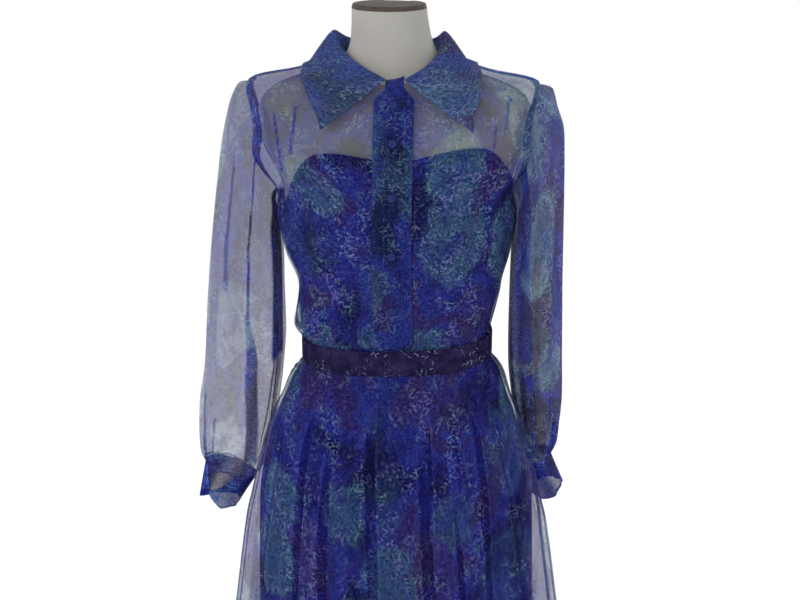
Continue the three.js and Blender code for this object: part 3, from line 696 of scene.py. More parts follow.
def chiffon_material(name, shade_tint, shaded_over, patchy, washed, inked):
    """Silk chiffon, screen printed: sheer, so each layer veils what lies behind it; folded layers add up
    and hide more, and where many lie together their colour is darkened by painted shade. The dark ground
    dye hides more than the pale patches do. A shell has two faces, so each face hides a part of what the
    layer does."""
    colours, sizes = bpy.context.scene.dress_colours, bpy.context.scene.dress_sizes
    material, add, finish = new_material(name)
    uv = add("UVMap", {}, uv_map="UVMap")
    colour, teal, grain, stroke = printed(add, uv, colours, patchy, washed, inked)
    layers = add("Attribute", {}, attribute_name="layers").outputs["Fac"]
    open_share = add("Math", {0: teal, 1: sizes.patch_open, 2: 1 - sizes.cover}, operation="MULTIPLY_ADD")
    grainy = add("Math", {0: grain, 1: -0.4, 2: 0.2}, operation="MULTIPLY_ADD")
    open_share = add("Math", {0: open_share, 1: grainy}, operation="ADD")
    unstroked = add("Math", {0: stroke, 1: -0.8, 2: 1.0}, operation="MULTIPLY_ADD")
    open_share = add("Math", {0: open_share, 1: unstroked}, operation="MULTIPLY")
    half_layers = add("Math", {0: layers, 1: 0.5}, operation="MULTIPLY")
    through = add("Math", {0: open_share, 1: half_layers}, operation="POWER")
    # Painted shade: past the low end of the layers, the colour is multiplied by a darker colour, for the
    # shade inside folded cloth.
    low, high = shaded_over
    folded = add("MapRange", {"Value": layers, "From Min": low, "From Max": high}, **SOFT)
    finish({
        "Base Color": add("Mix", {
            0: folded, 6: colour, 7: getattr(colours, shade_tint),
        }, data_type="RGBA", blend_type="MULTIPLY"),
        "Alpha": add("Math", {0: 1.0, 1: through}, operation="SUBTRACT"),
        "Normal": crepe(add, uv, 0.25), "Roughness": 0.7, "IOR": SILK_IOR, "Specular IOR Level": 0.04,
    })
    return material


def lining_material(name):
    """Plain-woven acetate lining, piece dyed: opaque and matt, an even indigo, darker where it is faced."""
    colours = bpy.context.scene.dress_colours
    material, add, finish = new_material(name)
    uv = add("UVMap", {}, uv_map="UVMap")
    layers = add("Attribute", {}, attribute_name="layers").outputs["Fac"]
    tone = patches(add, uv, 0.04, (0, 0, 0), 2.0)
    uneven = add("MapRange", {"Value": tone, "From Min": 0.35, "From Max": 0.65}, **SOFT)
    faced = add("MapRange", {"Value": layers, "From Min": 1.0, "From Max": 2.0}, **SOFT)
    colour = add("Mix", {0: uneven, 6: colours.lining, 7: colours.lining_dark}, data_type="RGBA")
    finish({
        "Base Color": add("Mix", {
            0: faced, 6: colour, 7: colours.navy,
        }, data_type="RGBA", blend_type="MULTIPLY"),
        "Normal": crepe(add, uv, 0.12), "Roughness": 0.6, "IOR": SILK_IOR, "Specular IOR Level": 0.05,
    })
    return material


def belt_material(name):
    """Stiffened belt covered in the printed cloth: close and dark, with a few pale dashes left."""
    colours = bpy.context.scene.dress_colours
    material, add, finish = new_material(name)
    uv = add("UVMap", {}, uv_map="UVMap")
    tone = patches(add, uv, 0.02, (2.2, 0.7, 0), 6.0, 0.8)
    ground = add("ValToRGB", {"Fac": tone}, [(0.38, colours.belt), (0.62, colours.belt_plum)])
    fine = strokes(add, uv, 0.006, 0.006, 0.0007, (1.2, 0.6, 0))
    where = add("MapRange", {
        "Value": patches(add, uv, 0.05, (6.5, 1.3, 0), 2.0), "From Min": 0.4, "From Max": 0.56,
    }, **SOFT)
    drawn = add("Math", {0: fine, 1: where}, operation="MULTIPLY")
    drawn = add("Math", {0: drawn, 1: 0.45}, operation="MULTIPLY")
    finish({
        "Base Color": add("Mix", {0: drawn, 6: ground, 7: colours.lilac}, data_type="RGBA"),
        "Normal": crepe(add, uv, 0.3), "Roughness": 0.55, "IOR": SILK_IOR, "Specular IOR Level": 0.05,
    })
    return material


def jersey_material(name):
    """Cotton jersey stretched over foam: soft and matt with a faint knit; painted lighter below the neck, to
    make up for the shade that the dress casts on the form.
    """
    colours = bpy.context.scene.dress_colours
    material, add, finish = new_material(name)
    place = add("TexCoord", {}).outputs["Object"]
    uneven = add("MapRange", {
        "Value": patches(add, place, 0.09, (0, 0, 0), 3.0, flat=False), "From Min": 0.3, "From Max": 0.7,
    }, **SOFT)
    # Painted light: below the neck, under the dress, the jersey is given a lighter colour to make up for the
    # dress's shade.
    covered = add("MapRange", {
        "Value": add("SeparateXYZ", {"Vector": place}).outputs["Z"], "From Min": 1.42, "From Max": 1.38,
    }, **SOFT)
    colour = add("Mix", {0: uneven, 6: colours.form, 7: colours.form_shade}, data_type="RGBA")
    knit = patches(add, place, 0.0016, (0, 0, 0), 1.0, flat=False)
    finish({
        "Base Color": add("Mix", {0: covered, 6: colour, 7: colours.form_covered}, data_type="RGBA"),
        "Normal": add("Bump", {"Height": knit, "Strength": 0.12, "Distance": 0.0004}),
        "Roughness": 0.75, "Specular IOR Level": 0.25,
    })
    return material


def wood_material(name):
    """Turned beech cap, stained brown: fine straight grain under a thin satin varnish."""
    colours = bpy.context.scene.dress_colours
    material, add, finish = new_material(name)
    place = add("TexCoord", {}).outputs["Object"]
    stretched = add("Mapping", {"Vector": place, "Scale": (1, 0.08, 1)})
    grain = patches(add, stretched, 0.0025, (0, 0, 0), 4.0, 0.6, flat=False)
    finish({
        "Base Color": add("ValToRGB", {"Fac": grain}, [(0.35, colours.cap_dark), (0.62, colours.cap)]),
        "Roughness": 0.6, "IOR": 1.5, "Specular IOR Level": 0.15,
    })
    return material


def stand_material(name):
    """Powder-coated steel: a dark satin coat with a fine orange-peel."""
    colours = bpy.context.scene.dress_colours
    material, add, finish = new_material(name)
    place = add("TexCoord", {}).outputs["Object"]
    peel = patches(add, place, 0.0025, (0, 0, 0), 2.0, flat=False)
    worn = add("MapRange", {
        "Value": patches(add, place, 0.03, (1, 2, 3), 4.0, 0.65, flat=False),
        "From Min": 0.5, "From Max": 0.75,
    }, **SOFT)
    finish({
        "Base Color": add("Mix", {0: worn, 6: colours.stand, 7: colours.stand_worn}, data_type="RGBA"),
        "Normal": add("Bump", {"Height": peel, "Strength": 0.15, "Distance": 0.0003}), "Roughness": 0.42,
    })
    return material


def stage_material(name, colour, glow):
    """Seamless studio paper: matt and even, a near-white that takes a soft shadow."""
    material, add, finish = new_material(name)
    place = add("TexCoord", {}).outputs["Object"]
    fibre = patches(add, place, 0.004, (0, 0, 0), 2.0, flat=False)
    finish({
        "Base Color": add("ValToRGB", {"Fac": fibre}, [(0.3, [c * 0.985 for c in colour]), (0.7, colour)]),
        "Roughness": 0.9, "Specular IOR Level": 0.1, "Emission Color": colour, "Emission Strength": glow,
    })
    return material


def made_once(maker, name, *values):
    """The material of that name, made the first time it is asked for."""
    return bpy.data.materials.get(name) or maker(name, *values)


def chiffon(name):
    """One of the printed chiffons."""
    return made_once(chiffon_material, name, *CHIFFONS[name])


# ---- settings ----
def colour_setting(name, description, code):
    return FloatVectorProperty(
        name=name, description=description, subtype="COLOR", size=3, min=0, max=1, default=linear(code),
    )


def length_setting(name, description, value):
    return FloatProperty(
        name=name, description=description, subtype="DISTANCE", unit="LENGTH", min=0, default=value,
    )


def share_setting(name, description, value):
    return FloatProperty(name=name, description=description, subtype="FACTOR", min=0, max=1, default=value)


def strength_setting(name, description, value, low, high, **unit):
    return FloatProperty(name=name, description=description, min=low, max=high, default=value, **unit)


class DressColours(bpy.types.PropertyGroup):
    """Colours of the dyes, of the painted shade in folded chiffon, of the lining, the belt and the form."""
    navy: colour_setting("Navy", "Darkest dye of the print", "#181a4e")
    indigo: colour_setting("Indigo", "Main ground dye", "#242578")
    royal: colour_setting("Royal", "Bright blue dye", "#29338e")
    violet: colour_setting("Violet", "Violet dye", "#322668")
    teal: colour_setting("Teal", "Blue-green dye", "#436a8c")
    mauve: colour_setting("Mauve", "Greyed plum dye", "#43366c")
    mint: colour_setting("Mint", "Green-white of the drawn strokes", "#a6d2d2")
    lilac: colour_setting("Lilac", "Lilac-white of the drawn strokes", "#b4b6e4")
    # Painted shade: the next two are multiplied into the chiffon where it lies folded on itself, and in the
    # deep folds of the skirt, for the shade that falls there.
    fold: colour_setting("Fold", "Tint of cloth that lies folded on itself", "#bccaff")
    valley: colour_setting("Valley", "Tint of the deep folds of the skirt", "#8c86aa")
    faced: colour_setting("Faced", "Tint of the faced collar", "#fff3e0")
    banded: colour_setting("Banded", "Tint of the button band", "#c4c8cc")
    lining: colour_setting("Lining", "Opaque lining", "#170f58")
    lining_dark: colour_setting("Lining dark", "Uneven patches of the lining", "#110b42")
    belt: colour_setting("Belt", "Belt cloth", "#0e0e2b")
    belt_plum: colour_setting("Belt plum", "Plum patches on the belt", "#282046")
    form: colour_setting("Form", "Jersey of the dress form", "#a8a6a1")
    # Painted light: the jersey under the dress, lighter than at the neck to make up for the shade the dress
    # casts.
    form_covered: colour_setting("Form covered", "Clean jersey below the neck", "#c1c39f")
    form_shade: colour_setting("Form shade", "Darker patches of the jersey", "#a09d98")
    cap: colour_setting("Cap", "Neck cap", "#4e453d")
    cap_dark: colour_setting("Cap dark", "Grain of the neck cap", "#3e362f")
    stand: colour_setting("Stand", "Coat of the stand", "#2b2928")
    stand_worn: colour_setting("Stand worn", "Rubbed patches of the stand", "#3f3d3a")


class DressSizes(bpy.types.PropertyGroup):
    """Sizes of the cloth and of its print."""
    chiffon: length_setting("Chiffon", "Thickness of one sheer layer's shell", 0.0005)
    doubled: length_setting("Doubled", "Thickness of the collar, cuffs and band", 0.0011)
    seam: length_setting("Seam", "Width of a seam allowance", 0.010)
    blot: length_setting("Blot", "Size of a dark blot in the print", 0.08)
    patch: length_setting("Patch", "Spacing of the feathery patches", 0.095)
    cover: share_setting("Cover", "Share that one sheer layer of the dark ground hides", 0.61)
    patch_open: share_setting("Patch open", "How much more open a pale patch is", 0.2)
    drawn: share_setting("Drawn", "Strength of the fine strokes", 0.72)


class DressStage(bpy.types.PropertyGroup):
    """Floor, backdrop, lights and camera."""
    paper: colour_setting("Paper", "Floor and backdrop", "#f7f7f8")
    reach: length_setting("Reach", "Half width of the floor", 3.5)
    lens: strength_setting("Lens", "Focal length in millimetres", 71.145, 20, 200)
    sky: strength_setting("Sky", "Strength of the even light", 1.0, 0, 5)
    key: strength_setting("Key", "Power of the front left light", 22, 0, 1000, unit="POWER")


# ---- the form and its stand ----
def smooth_copy(node, name, levels, rings):
    """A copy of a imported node, merged and subdivided; the rings at these heights (m) stay sharp."""
    activate(frame["nodes"][node])
    bpy.ops.object.duplicate()
    piece = bpy.context.active_object
    piece.name = piece.data.name = name
    piece.parent = None
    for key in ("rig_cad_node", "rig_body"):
        del piece[key]
    bpy.ops.object.mode_set(mode="EDIT")
    bpy.ops.mesh.select_all(action="SELECT")
    bpy.ops.mesh.remove_doubles(threshold=0.00002)
    bpy.ops.mesh.tris_convert_to_quads(face_threshold=1.2, shape_threshold=1.2)
    bpy.ops.mesh.select_all(action="DESELECT")
    bpy.ops.object.mode_set(mode="OBJECT")
    for edge in piece.data.edges:
        ends = [piece.data.vertices[k].co for k in edge.vertices]
        edge.select = any(
            all(abs(p.z - z) < 0.0002 and math.hypot(p.x, p.y) > 0.02 for p in ends) for z in rings
        )
    bpy.ops.object.mode_set(mode="EDIT")
    bpy.ops.mesh.select_mode(type="EDGE")
    bpy.ops.transform.edge_crease(value=1)
    bpy.ops.object.mode_set(mode="OBJECT")
    apply_modifier(piece, "SUBSURF", levels=levels, render_levels=levels)
    activate(piece)
    bpy.ops.object.shade_smooth_by_angle(angle=EASED)
    return piece


def turned_piece(name, radius, low, high, edge, segments):
    """A round turned piece standing on the axis, with eased edges."""
    deselect()
    bpy.ops.mesh.primitive_cylinder_add(
        vertices=segments, radius=radius, depth=high - low, location=(0, 0, (low + high) / 2),
    )
    piece = bpy.context.active_object
    piece.name = piece.data.name = name
    bpy.ops.object.transform_apply(location=True, rotation=True, scale=True)
    for face in piece.data.polygons:
        face.select = abs(face.normal.z) > 0.9
    for line in piece.data.edges:
        ends = [piece.data.vertices[k].co.z for k in line.vertices]
        line.select = abs(ends[0] - ends[1]) < 1e-6
    bpy.ops.object.mode_set(mode="EDIT")
    bpy.ops.mesh.select_mode(type="EDGE")
    bpy.ops.mesh.bevel(offset=edge, segments=4, profile=0.5, affect="EDGES")
    bpy.ops.object.mode_set(mode="OBJECT")
    bpy.ops.object.shade_smooth_by_angle(angle=EASED)
    return piece


class DRESS_OT_form(bpy.types.Operator):
    """Covers the limbless form in jersey and caps its neck"""
    bl_idname = "dress.form"
    bl_label = "Dress form"

    def execute(self, context):
        low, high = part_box("form_torso")
        torso = smooth_copy("form_torso", "jersey_form", 2, (low.z, high.z))
        for vertex in torso.data.vertices:
            x, _, z = vertex.co / MM
            fuller = np.interp(z, SHOULDERS["z"], SHOULDERS["out"]) * smoothstep(abs(x), *SHOULDERS["across"])
            vertex.co.x += math.copysign(fuller, x) * MM
        hand_over(torso, made_once(jersey_material, "cotton jersey over foam"), "form_torso")
        low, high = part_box("neck_cap")
        cap = smooth_copy("neck_cap", "turned_neck_cap", 2, (low.z, high.z))
        hand_over(cap, made_once(wood_material, "stained beech"), "neck_cap")
        return {"FINISHED"}


class DRESS_OT_stand(bpy.types.Operator):
    """Makes the round base and the pole that carry the form"""
    bl_idname = "dress.stand"
    bl_label = "Stand"

    def execute(self, context):
        coat = made_once(stand_material, "powder-coated steel")
        for node, name, edge, segments in (
            ("stand_base", "steel_base", 0.004, 128), ("stand_pole", "steel_pole", 0.001, 64),
        ):
            low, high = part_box(node)
            piece = turned_piece(name, (high.x - low.x) / 2, low.z, high.z, edge, segments)
            hand_over(piece, coat, node)
        return {"FINISHED"}


# ---- cloth ----
def even_angles(rows, position, start, end, count):
    """Angles in radians that part a ring into even lengths."""
    fine = np.radians(np.linspace(start, end, 721))
    points = ring_point(row_at(rows, np.full(fine.shape, float(position))), fine)
    return evenly(fine, np.linalg.norm(np.diff(points, axis=0), axis=-1), count + 1)


def bodice_grid(start, end, columns, rows):
    """The outer surface of the sheer bodice between two angles in degrees."""
    angles = even_angles(BODICE, BUST_ROW["bodice"], start, end, columns)
    u, v = np.meshgrid(angles, even_levels(BODICE, "zs", rows + 1))
    return tilted(ring_point(row_at(BODICE, v), u))


def bodice_tree():
    """A search tree of the whole sheer bodice, in millimetres."""
    points = bodice_grid(0, 360, 240, 120)
    rows, wide = points.shape[:2]
    faces = [
        (j * wide + i, j * wide + i + 1, (j + 1) * wide + i + 1, (j + 1) * wide + i)
        for j in range(rows - 1) for i in range(wide - 1)
    ]
    return BVHTree.FromPolygons(points.reshape(-1, 3).tolist(), faces)


def edge_distance(points, first=True):
    """Distance along the rows from a grid's first or last column."""
    steps = np.linalg.norm(np.diff(points, axis=1), axis=-1)
    travelled = np.concatenate([np.zeros((len(points), 1)), np.cumsum(steps, 1)], 1)
    return travelled if first else travelled[:, -1:] - travelled


def side_distance(points):
    """Distance along the rows from the nearer side edge of a grid."""
    return np.minimum(edge_distance(points), edge_distance(points, False))


def stitch_line(edge, kind):
    """The groove of a row of stitches beside an edge."""
    away, depth, width = STITCHES[kind]
    return depth * np.exp(-(((edge - away) / width) ** 2))


def row_distance(points, first=True):
    """Distance along the columns from a grid's first or last row."""
    return edge_distance(points.swapaxes(0, 1), first).swapaxes(0, 1)


def seam_layers(distance, seam, count, base=1.0):
    """Layers of cloth where a seam allowance lies under an edge."""
    return base + (count - base) * (1 - smoothstep(distance, seam - 0.8, seam + 0.4))


def cut_armhole(piece, side):
    """Cuts one armhole out of a bodice panel."""
    deselect()
    bpy.ops.mesh.primitive_cylinder_add(
        vertices=160, radius=1, depth=ARMHOLE_CUTTER["through"] * MM, rotation=(0, math.pi / 2, 0),
        location=(side * ARMHOLE_CUTTER["x"] * MM, ARMHOLE["y"][side > 0] * MM, ARMHOLE["z"] * MM),
    )
    cutter = bpy.context.active_object
    cutter.scale = (ARMHOLE["half_height"] * MM, ARMHOLE["half_depth"][side > 0] * MM, 1)
    apply_modifier(piece, "BOOLEAN", operation="DIFFERENCE", object=cutter, solver="EXACT")
    bpy.data.objects.remove(cutter)
    activate(piece)
    bpy.ops.object.shade_smooth_by_angle(angle=EASED)


def waist_gathers(points, reach, size):
    """Small uneven gathers that open out from the waist seam over reach millimetres."""
    x = edge_distance(points)
    from_waist = np.abs(points[..., 2] - WAIST["z"])
    fade = (1 - smoothstep(from_waist, 20, reach)) * smoothstep(from_waist, 14, 26)
    return size * fade * waves(x, [(13, 0.6, 0.4), (8.7, 0.35, 1.9), (21, 0.5, 4.1)])


class DRESS_OT_bodice(bpy.types.Operator):
    """Cuts the sheer fronts and back and sews them at the sides and shoulders"""
    bl_idname = "dress.bodice"
    bl_label = "Sheer bodice"

    def execute(self, context):
        sizes = context.scene.dress_sizes
        bare = LAYERS["bodice"]
        for index, (name, (start, end, columns, sides, sewn)) in enumerate(PANELS.items()):
            points = bodice_grid(start, end, columns, 130)
            height = crease_height(CREASES[name], points) + waist_gathers(points, 75, 1.6)
            held = smoothstep(side_distance(points), 0, 18)
            points = pushed(points, height * held)
            layers = bare
            for first in sewn:
                beside = edge_distance(points, first)
                layers = np.maximum(layers, seam_layers(beside, sizes.seam / MM, LAYERS["bodice_seam"], bare))
            hole_y, hole_depth = (np.where(points[..., 0] < 0, *ARMHOLE[key]) for key in ("y", "half_depth"))
            around = np.hypot((points[..., 1] - hole_y) / hole_depth,
                              (points[..., 2] - ARMHOLE["z"]) / ARMHOLE["half_height"])
            beside = np.where(np.abs(points[..., 0]) > 100, (around - 1) * hole_depth, 99)
            round_hole = lerp(bare, LAYERS["armhole"], points[..., 1] < hole_y)
            layers = np.maximum(layers, seam_layers(beside, WIDTHS["armhole"], round_hole, bare))
            for x0, z0, x1, z1, width, _ in zip(*CREASES[name].values()):
                if width > TUCK_WIDTH:
                    continue
                away, t = line_share(points[..., 0], points[..., 2], x0, z0, x1, z1)
                tuck = np.exp(-(away ** 2)) * smoothstep(t, -0.05, 0.15) * (1 - smoothstep(t, 0.85, 1.05))
                layers = np.maximum(layers, bare + LAYERS["tuck"] * tuck)
            shift = (index * 0.53, 0.2)
            piece = cloth_piece(f"chiffon_{name}", points, sizes.chiffon, layers=layers, shift=shift)
            for side in sides:
                cut_armhole(piece, side)
            hand_over(piece, chiffon("printed silk chiffon"), name)
        return {"FINISHED"}


def lining_top(angle, x):
    """Height of the strapless lining's top edge: a sweetheart in front, straight behind."""
    top = LINING_TOP
    turned = np.cos(angle)
    away = np.abs(x - top["middle"])
    share = np.maximum(away - top["peak_at"], 0) / (top["end"] - top["peak_at"])
    near = lerp(top["centre"], top["peak"], smoothstep(away, 0, top["peak_at"]))
    dip = np.where(away < top["peak_at"], near, lerp(top["peak"], LINING_BACK["side"], share ** 3))
    front = lerp(LINING_BACK["side"], dip + top["rise"] * x, smoothstep(turned, 0, 0.3))
    behind = lerp(LINING_BACK["side"], LINING_BACK["middle"], turned ** 2)
    return np.where(turned < 0, behind, front)


def lining_surface(angle, position):
    """The outer face of the lining: a little out from the form, and more at the sides."""
    e = 1e-3

    def at(u, v):
        return ring_point(row_at(FORM, v), u)

    along = at(angle + e, position) - at(angle - e, position)
    up = at(angle, position + e) - at(angle, np.maximum(position - e, 0))
    points = at(angle, position) + unit(np.cross(along, up)) * LINING_EASE
    z = points[..., 2]
    side = np.sign(np.sin(angle))
    level_at = np.interp(z, BODICE["zs"], np.arange(len(BODICE["zs"])))
    sheer_ring = row_at(BODICE, level_at)
    form_side = np.abs(at(np.pi / 2 * side, position)[..., 0])
    room = side * sheer_ring["cx"] + sheer_ring["a"] - LINING_SIDE["gap"] - form_side
    room = np.clip(room - LINING_EASE, 0, LINING_SIDE["most"]) * np.sin(angle) ** 4
    points[..., 0] += side * room * smoothstep(z, *LINING_SIDE["waist"])
    return tilted(points)


class DRESS_OT_lining(bpy.types.Operator):
    """Makes the opaque strapless lining: a bodice to the sweetheart edge, and a plain skirt"""
    bl_idname = "dress.lining"
    bl_label = "Lining"

    def execute(self, context):
        sizes = context.scene.dress_sizes
        cloth = made_once(lining_material, "matt acetate lining")
        for index, (name, start, end) in enumerate(HALVES):
            angles = even_angles(FORM, BUST_ROW["form"], start, end, 120)
            low, high = np.zeros_like(angles), np.full_like(angles, last_row(FORM))
            for _ in range(HALVINGS):
                middle = (low + high) / 2
                point = lining_surface(angles, middle)
                under = point[:, 2] < lining_top(angles, point[:, 0])
                low, high = np.where(under, middle, low), np.where(under, high, middle)
            u, share = np.meshgrid(angles, np.linspace(0, 1, 71))
            points = lining_surface(u, low * share)
            rolled = 1.4 * (1 - smoothstep(row_distance(points, False), 0, 5))
            points = pushed(points, -rolled)
            layers = seam_layers(row_distance(points, False), WIDTHS["facing"], LAYERS["facing"])
            shift = (index * 0.6, 0)
            piece = cloth_piece(f"lining_bodice_{name}", points, sizes.doubled, layers=layers, shift=shift)
            hand_over(piece, cloth, f"bodice_lining_{name}")
            points = skirt_grid(SKIRT_LINING, 0.5, start, end, 150, 60)
            piece = cloth_piece(f"lining_skirt_{name}", points, sizes.doubled, shift=(index * 0.6, 0.9))
            hand_over(piece, cloth, f"skirt_lining_{name}")
        return {"FINISHED"}


def skirt_grid(rows, share, start, end, columns, count, extra=0.0):
    """A skirt panel from its hem up, with its folds growing from the waist down."""
    angles = np.radians(np.linspace(start, end, columns + 1))
    u, v = np.meshgrid(angles, even_levels(rows, "z", count + 1)[::-1])
    row = row_at(rows, v)
    ring = {**row, "zf": row["z"], "zs": row["z"], "zb": row["z"], "cx": 0.0, "n": SQUARENESS, "bust": 0.0}
    points = ring_point(ring, u)
    grown = sum(part * smoothstep(top - row["z"], 0, reach) for top, reach, part in FOLD_GROWTH)
    degrees = np.degrees(u)
    depth = share * grown * fold_depth(FOLDS, degrees)
    ripple = waves(degrees + 0.004 * (row["z"] - 700), [(11.3, 1.3, 0.3), (7.1, 0.9, 2.2), (17.9, 1.2, 4.7)])
    depth = depth + extra * smoothstep(1010 - row["z"], 0, 120) * ripple
    inward = np.stack([-points[..., 0], row["cy"] - points[..., 1], np.zeros_like(u)], -1)
    return tilted(points + unit(inward) * depth[..., None])


class DRESS_OT_skirt(bpy.types.Operator):
    """Gathers the sheer skirt into the waist and lets it hang in folds"""
    bl_idname = "dress.skirt"
    bl_label = "Sheer skirt"

    def execute(self, context):
        sizes = context.scene.dress_sizes
        bare = LAYERS["skirt"]
        for index, (name, start, end) in enumerate(HALVES):
            points = skirt_grid(SKIRT, 1.0, start, end, 260, 120, 1.0)
            points = pushed(points, waist_gathers(points, 110, 1.5))
            sides = side_distance(points)
            layers = np.maximum(seam_layers(sides, sizes.seam / MM, LAYERS["skirt_seam"], bare),
                                seam_layers(row_distance(points), WIDTHS["hem"], LAYERS["hem"], bare))
            u = np.degrees(np.linspace(math.radians(start), math.radians(end), points.shape[1]))
            heights = points[..., 2]
            # Painted shade in the skirt's folds, on top of the cloth that lies double there: the pleats'
            # layers grow below the waist, vary down the skirt and fade towards the sides.
            pleat_and_shade_strength = smoothstep(1010 - heights, 0, 90) * (0.75 + 0.25 * np.sin(heights / 60 + u))
            pleat_and_shade_strength = pleat_and_shade_strength * (1 - 0.7 * smoothstep(np.abs(np.sin(np.radians(u))), 0.75, 0.95))
            doubled = pleat_and_shade_strength * pleat_share(FOLDS, u + 0 * heights, heights)
            layers = np.maximum(layers, bare + LAYERS["pleat_and_shade"] * doubled)
            shift = (index * 1.3, 0.6)
            piece = cloth_piece(f"chiffon_skirt_{name}", points, sizes.chiffon, layers=layers, shift=shift)
            cloth = chiffon("gathered printed chiffon")
            hand_over(piece, cloth, f"skirt_{name}")
        return {"FINISHED"}


def section_point(row, side, angle):
    """A point on a sleeve section; the angle starts at its outer edge."""
    c = np.cos(angle)
    x = (row["outX"] + row["inX"]) / 2 + c * (row["outX"] - row["inX"]) / 2
    z = (row["outZ"] + row["inZ"]) / 2 + c * (row["outZ"] - row["inZ"]) / 2
    return np.stack([side * x, row["mid"] - side * row["half"] * np.sin(angle), z], -1)


def armhole_edge(tree, side, angles, wider):
    """A ring round the armhole, laid on the bodice from the side, and so much wider in front and behind."""
    found = []
    for angle in angles:
        turned = -side * math.sin(angle)
        out = lerp(*wider, smoothstep(turned, -0.5, 0.5))
        y = ARMHOLE["y"][side > 0] + (ARMHOLE["half_depth"][side > 0] + out) * turned
        z = ARMHOLE["z"] + (ARMHOLE["half_height"] + out) * math.cos(angle)
        found.append(tree.ray_cast(Vector((side * 400, y, z)), Vector((-side, 0, 0)))[0])
    return np.array([list(point) for point in found])


def sleeve_grid(name, side, tree, columns, count):
    """A sleeve from the armhole to the wrist, with its long folds and wrist gathers."""
    rows = SLEEVES[name]
    last = last_row(rows)
    angles = np.linspace(0, 2 * math.pi, columns, endpoint=False)
    fine = np.linspace(0, last, 400)
    middle = row_at(rows, fine)
    path = np.stack([
        (middle["outX"] + middle["inX"]) / 2, (middle["outZ"] + middle["inZ"]) / 2, middle["mid"],
    ], -1)
    u, v = np.meshgrid(angles, evenly(fine, np.linalg.norm(np.diff(path, axis=0), axis=-1), count + 1))
    row = row_at(rows, v)
    points = section_point(row, side, u)
    centre = (section_point(row, side, 0 * u) + section_point(row, side, 0 * u + math.pi)) / 2
    degrees = np.degrees(side * u)
    grown = smoothstep(v, 1, 5) * (1 - 0.55 * smoothstep(v, last - 2, last))
    gathers = WRIST_GATHERS["depth"] * smoothstep(v, last - 2.2, last - 0.6)
    gathers = gathers * (1 - smoothstep(v, last - 0.6, last)) * np.cos(WRIST_GATHERS["count"] * u)
    ripple = waves(degrees + 6 * np.sin(v), [(36, 0.9, 1.3), (24, 0.6, 0.2), (60, 0.8, 3.3)])
    pucker = 0.8 * smoothstep(v, last - 3, last - 0.4) * waves(degrees, [(12, 1, 0.5), (9, 0.6, 2)])
    pucker = pucker * (1 - smoothstep(v, last - 0.3, last))
    depth = grown * (fold_depth(SLEEVE_FOLDS, degrees) + ripple) + gathers + pucker
    points = points + unit(centre - points) * depth[..., None]
    edge = armhole_edge(tree, side, angles, (-ARMHOLE["seam"],) * 2)
    share = np.clip(v, 0, 1)[..., None]
    points = lerp(edge[None], points, share)
    inside = np.array([side * ARMHOLE["inside"], 0, 0])
    turned = armhole_edge(tree, side, angles, (ALLOWANCE["front"], ALLOWANCE["back"])) - inside
    under = armhole_edge(tree, side, angles, (1.0, 1.0)) - inside
    allowance = [lerp(turned, under, share) for share in (0, 0.25, 0.5, 0.75, 1)]
    return np.concatenate([allowance, points]), np.concatenate([degrees[:5], degrees])


def band_layers(bands, degrees, heights):
    """Layers of cloth where a sleeve lies folded on itself."""
    layers = np.ones_like(degrees)
    for angle0, z0, half0, angle1, z1, half1, count in zip(*bands.values()):
        t = (heights - z0) / (z1 - z0)
        near = np.clip(t, 0, 1)
        half = lerp(half0, half1, near)
        wander = 1.2 * np.sin(heights / 23 + angle0)
        away = np.abs((degrees - lerp(angle0, angle1, near) - wander + 540) % 360 - 180)
        inside = (1 - smoothstep(away, half * 0.82, half * 1.1 + 0.3))
        inside = inside * smoothstep(t, -0.04, 0.08) * (1 - smoothstep(t, 0.94, 1.02))
        layers = np.maximum(layers, 1 + (count - 1) * inside)
    return layers


class DRESS_OT_sleeves(bpy.types.Operator):
    """Sets the full sleeves into the armholes, gathered at the wrist"""
    bl_idname = "dress.sleeves"
    bl_label = "Sleeves"

    def execute(self, context):
        sizes = context.scene.dress_sizes
        tree = bodice_tree()
        for index, (name, side) in enumerate(SIDES):
            points, degrees = sleeve_grid(name, side, tree, 180, 160)
            # The bands add layers where the cloth lies folded, and past about two layers these also bring in
            # painted shade.
            folded = band_layers(SLEEVE_BANDS[name], degrees, points[..., 2])
            points = pushed(points, 0.5 * smoothstep(folded, 1.2, 2.2), closed=True)
            # Painted shade: the right sleeve's higher cover makes it darker than the left.
            shoulder, wrist = SLEEVE_COVER[name]
            cover = lerp(wrist, shoulder, smoothstep(points[..., 2], 850, 1400))
            layers = np.maximum(cover, np.minimum(cover, 1) + folded - 1)
            front = smoothstep(ARMHOLE["y"][index] - points[..., 1], -10, 10)
            allowance = seam_layers(row_distance(points), ALLOWANCE["front"] + 3, LAYERS["allowance"], 0)
            from_wrist = row_distance(points, False)
            wrist_seam = seam_layers(from_wrist, WIDTHS["wrist_seam"], LAYERS["wrist_seam"], 0)
            layers = np.maximum(layers, np.maximum(front * allowance, wrist_seam))
            shift = (index * 0.7, 1.7)
            piece = cloth_piece(f"chiffon_sleeve_{name}", points, sizes.chiffon, True, layers, shift)
            cloth = chiffon("printed silk chiffon")
            hand_over(piece, cloth, f"sleeve_{name}")
        return {"FINISHED"}


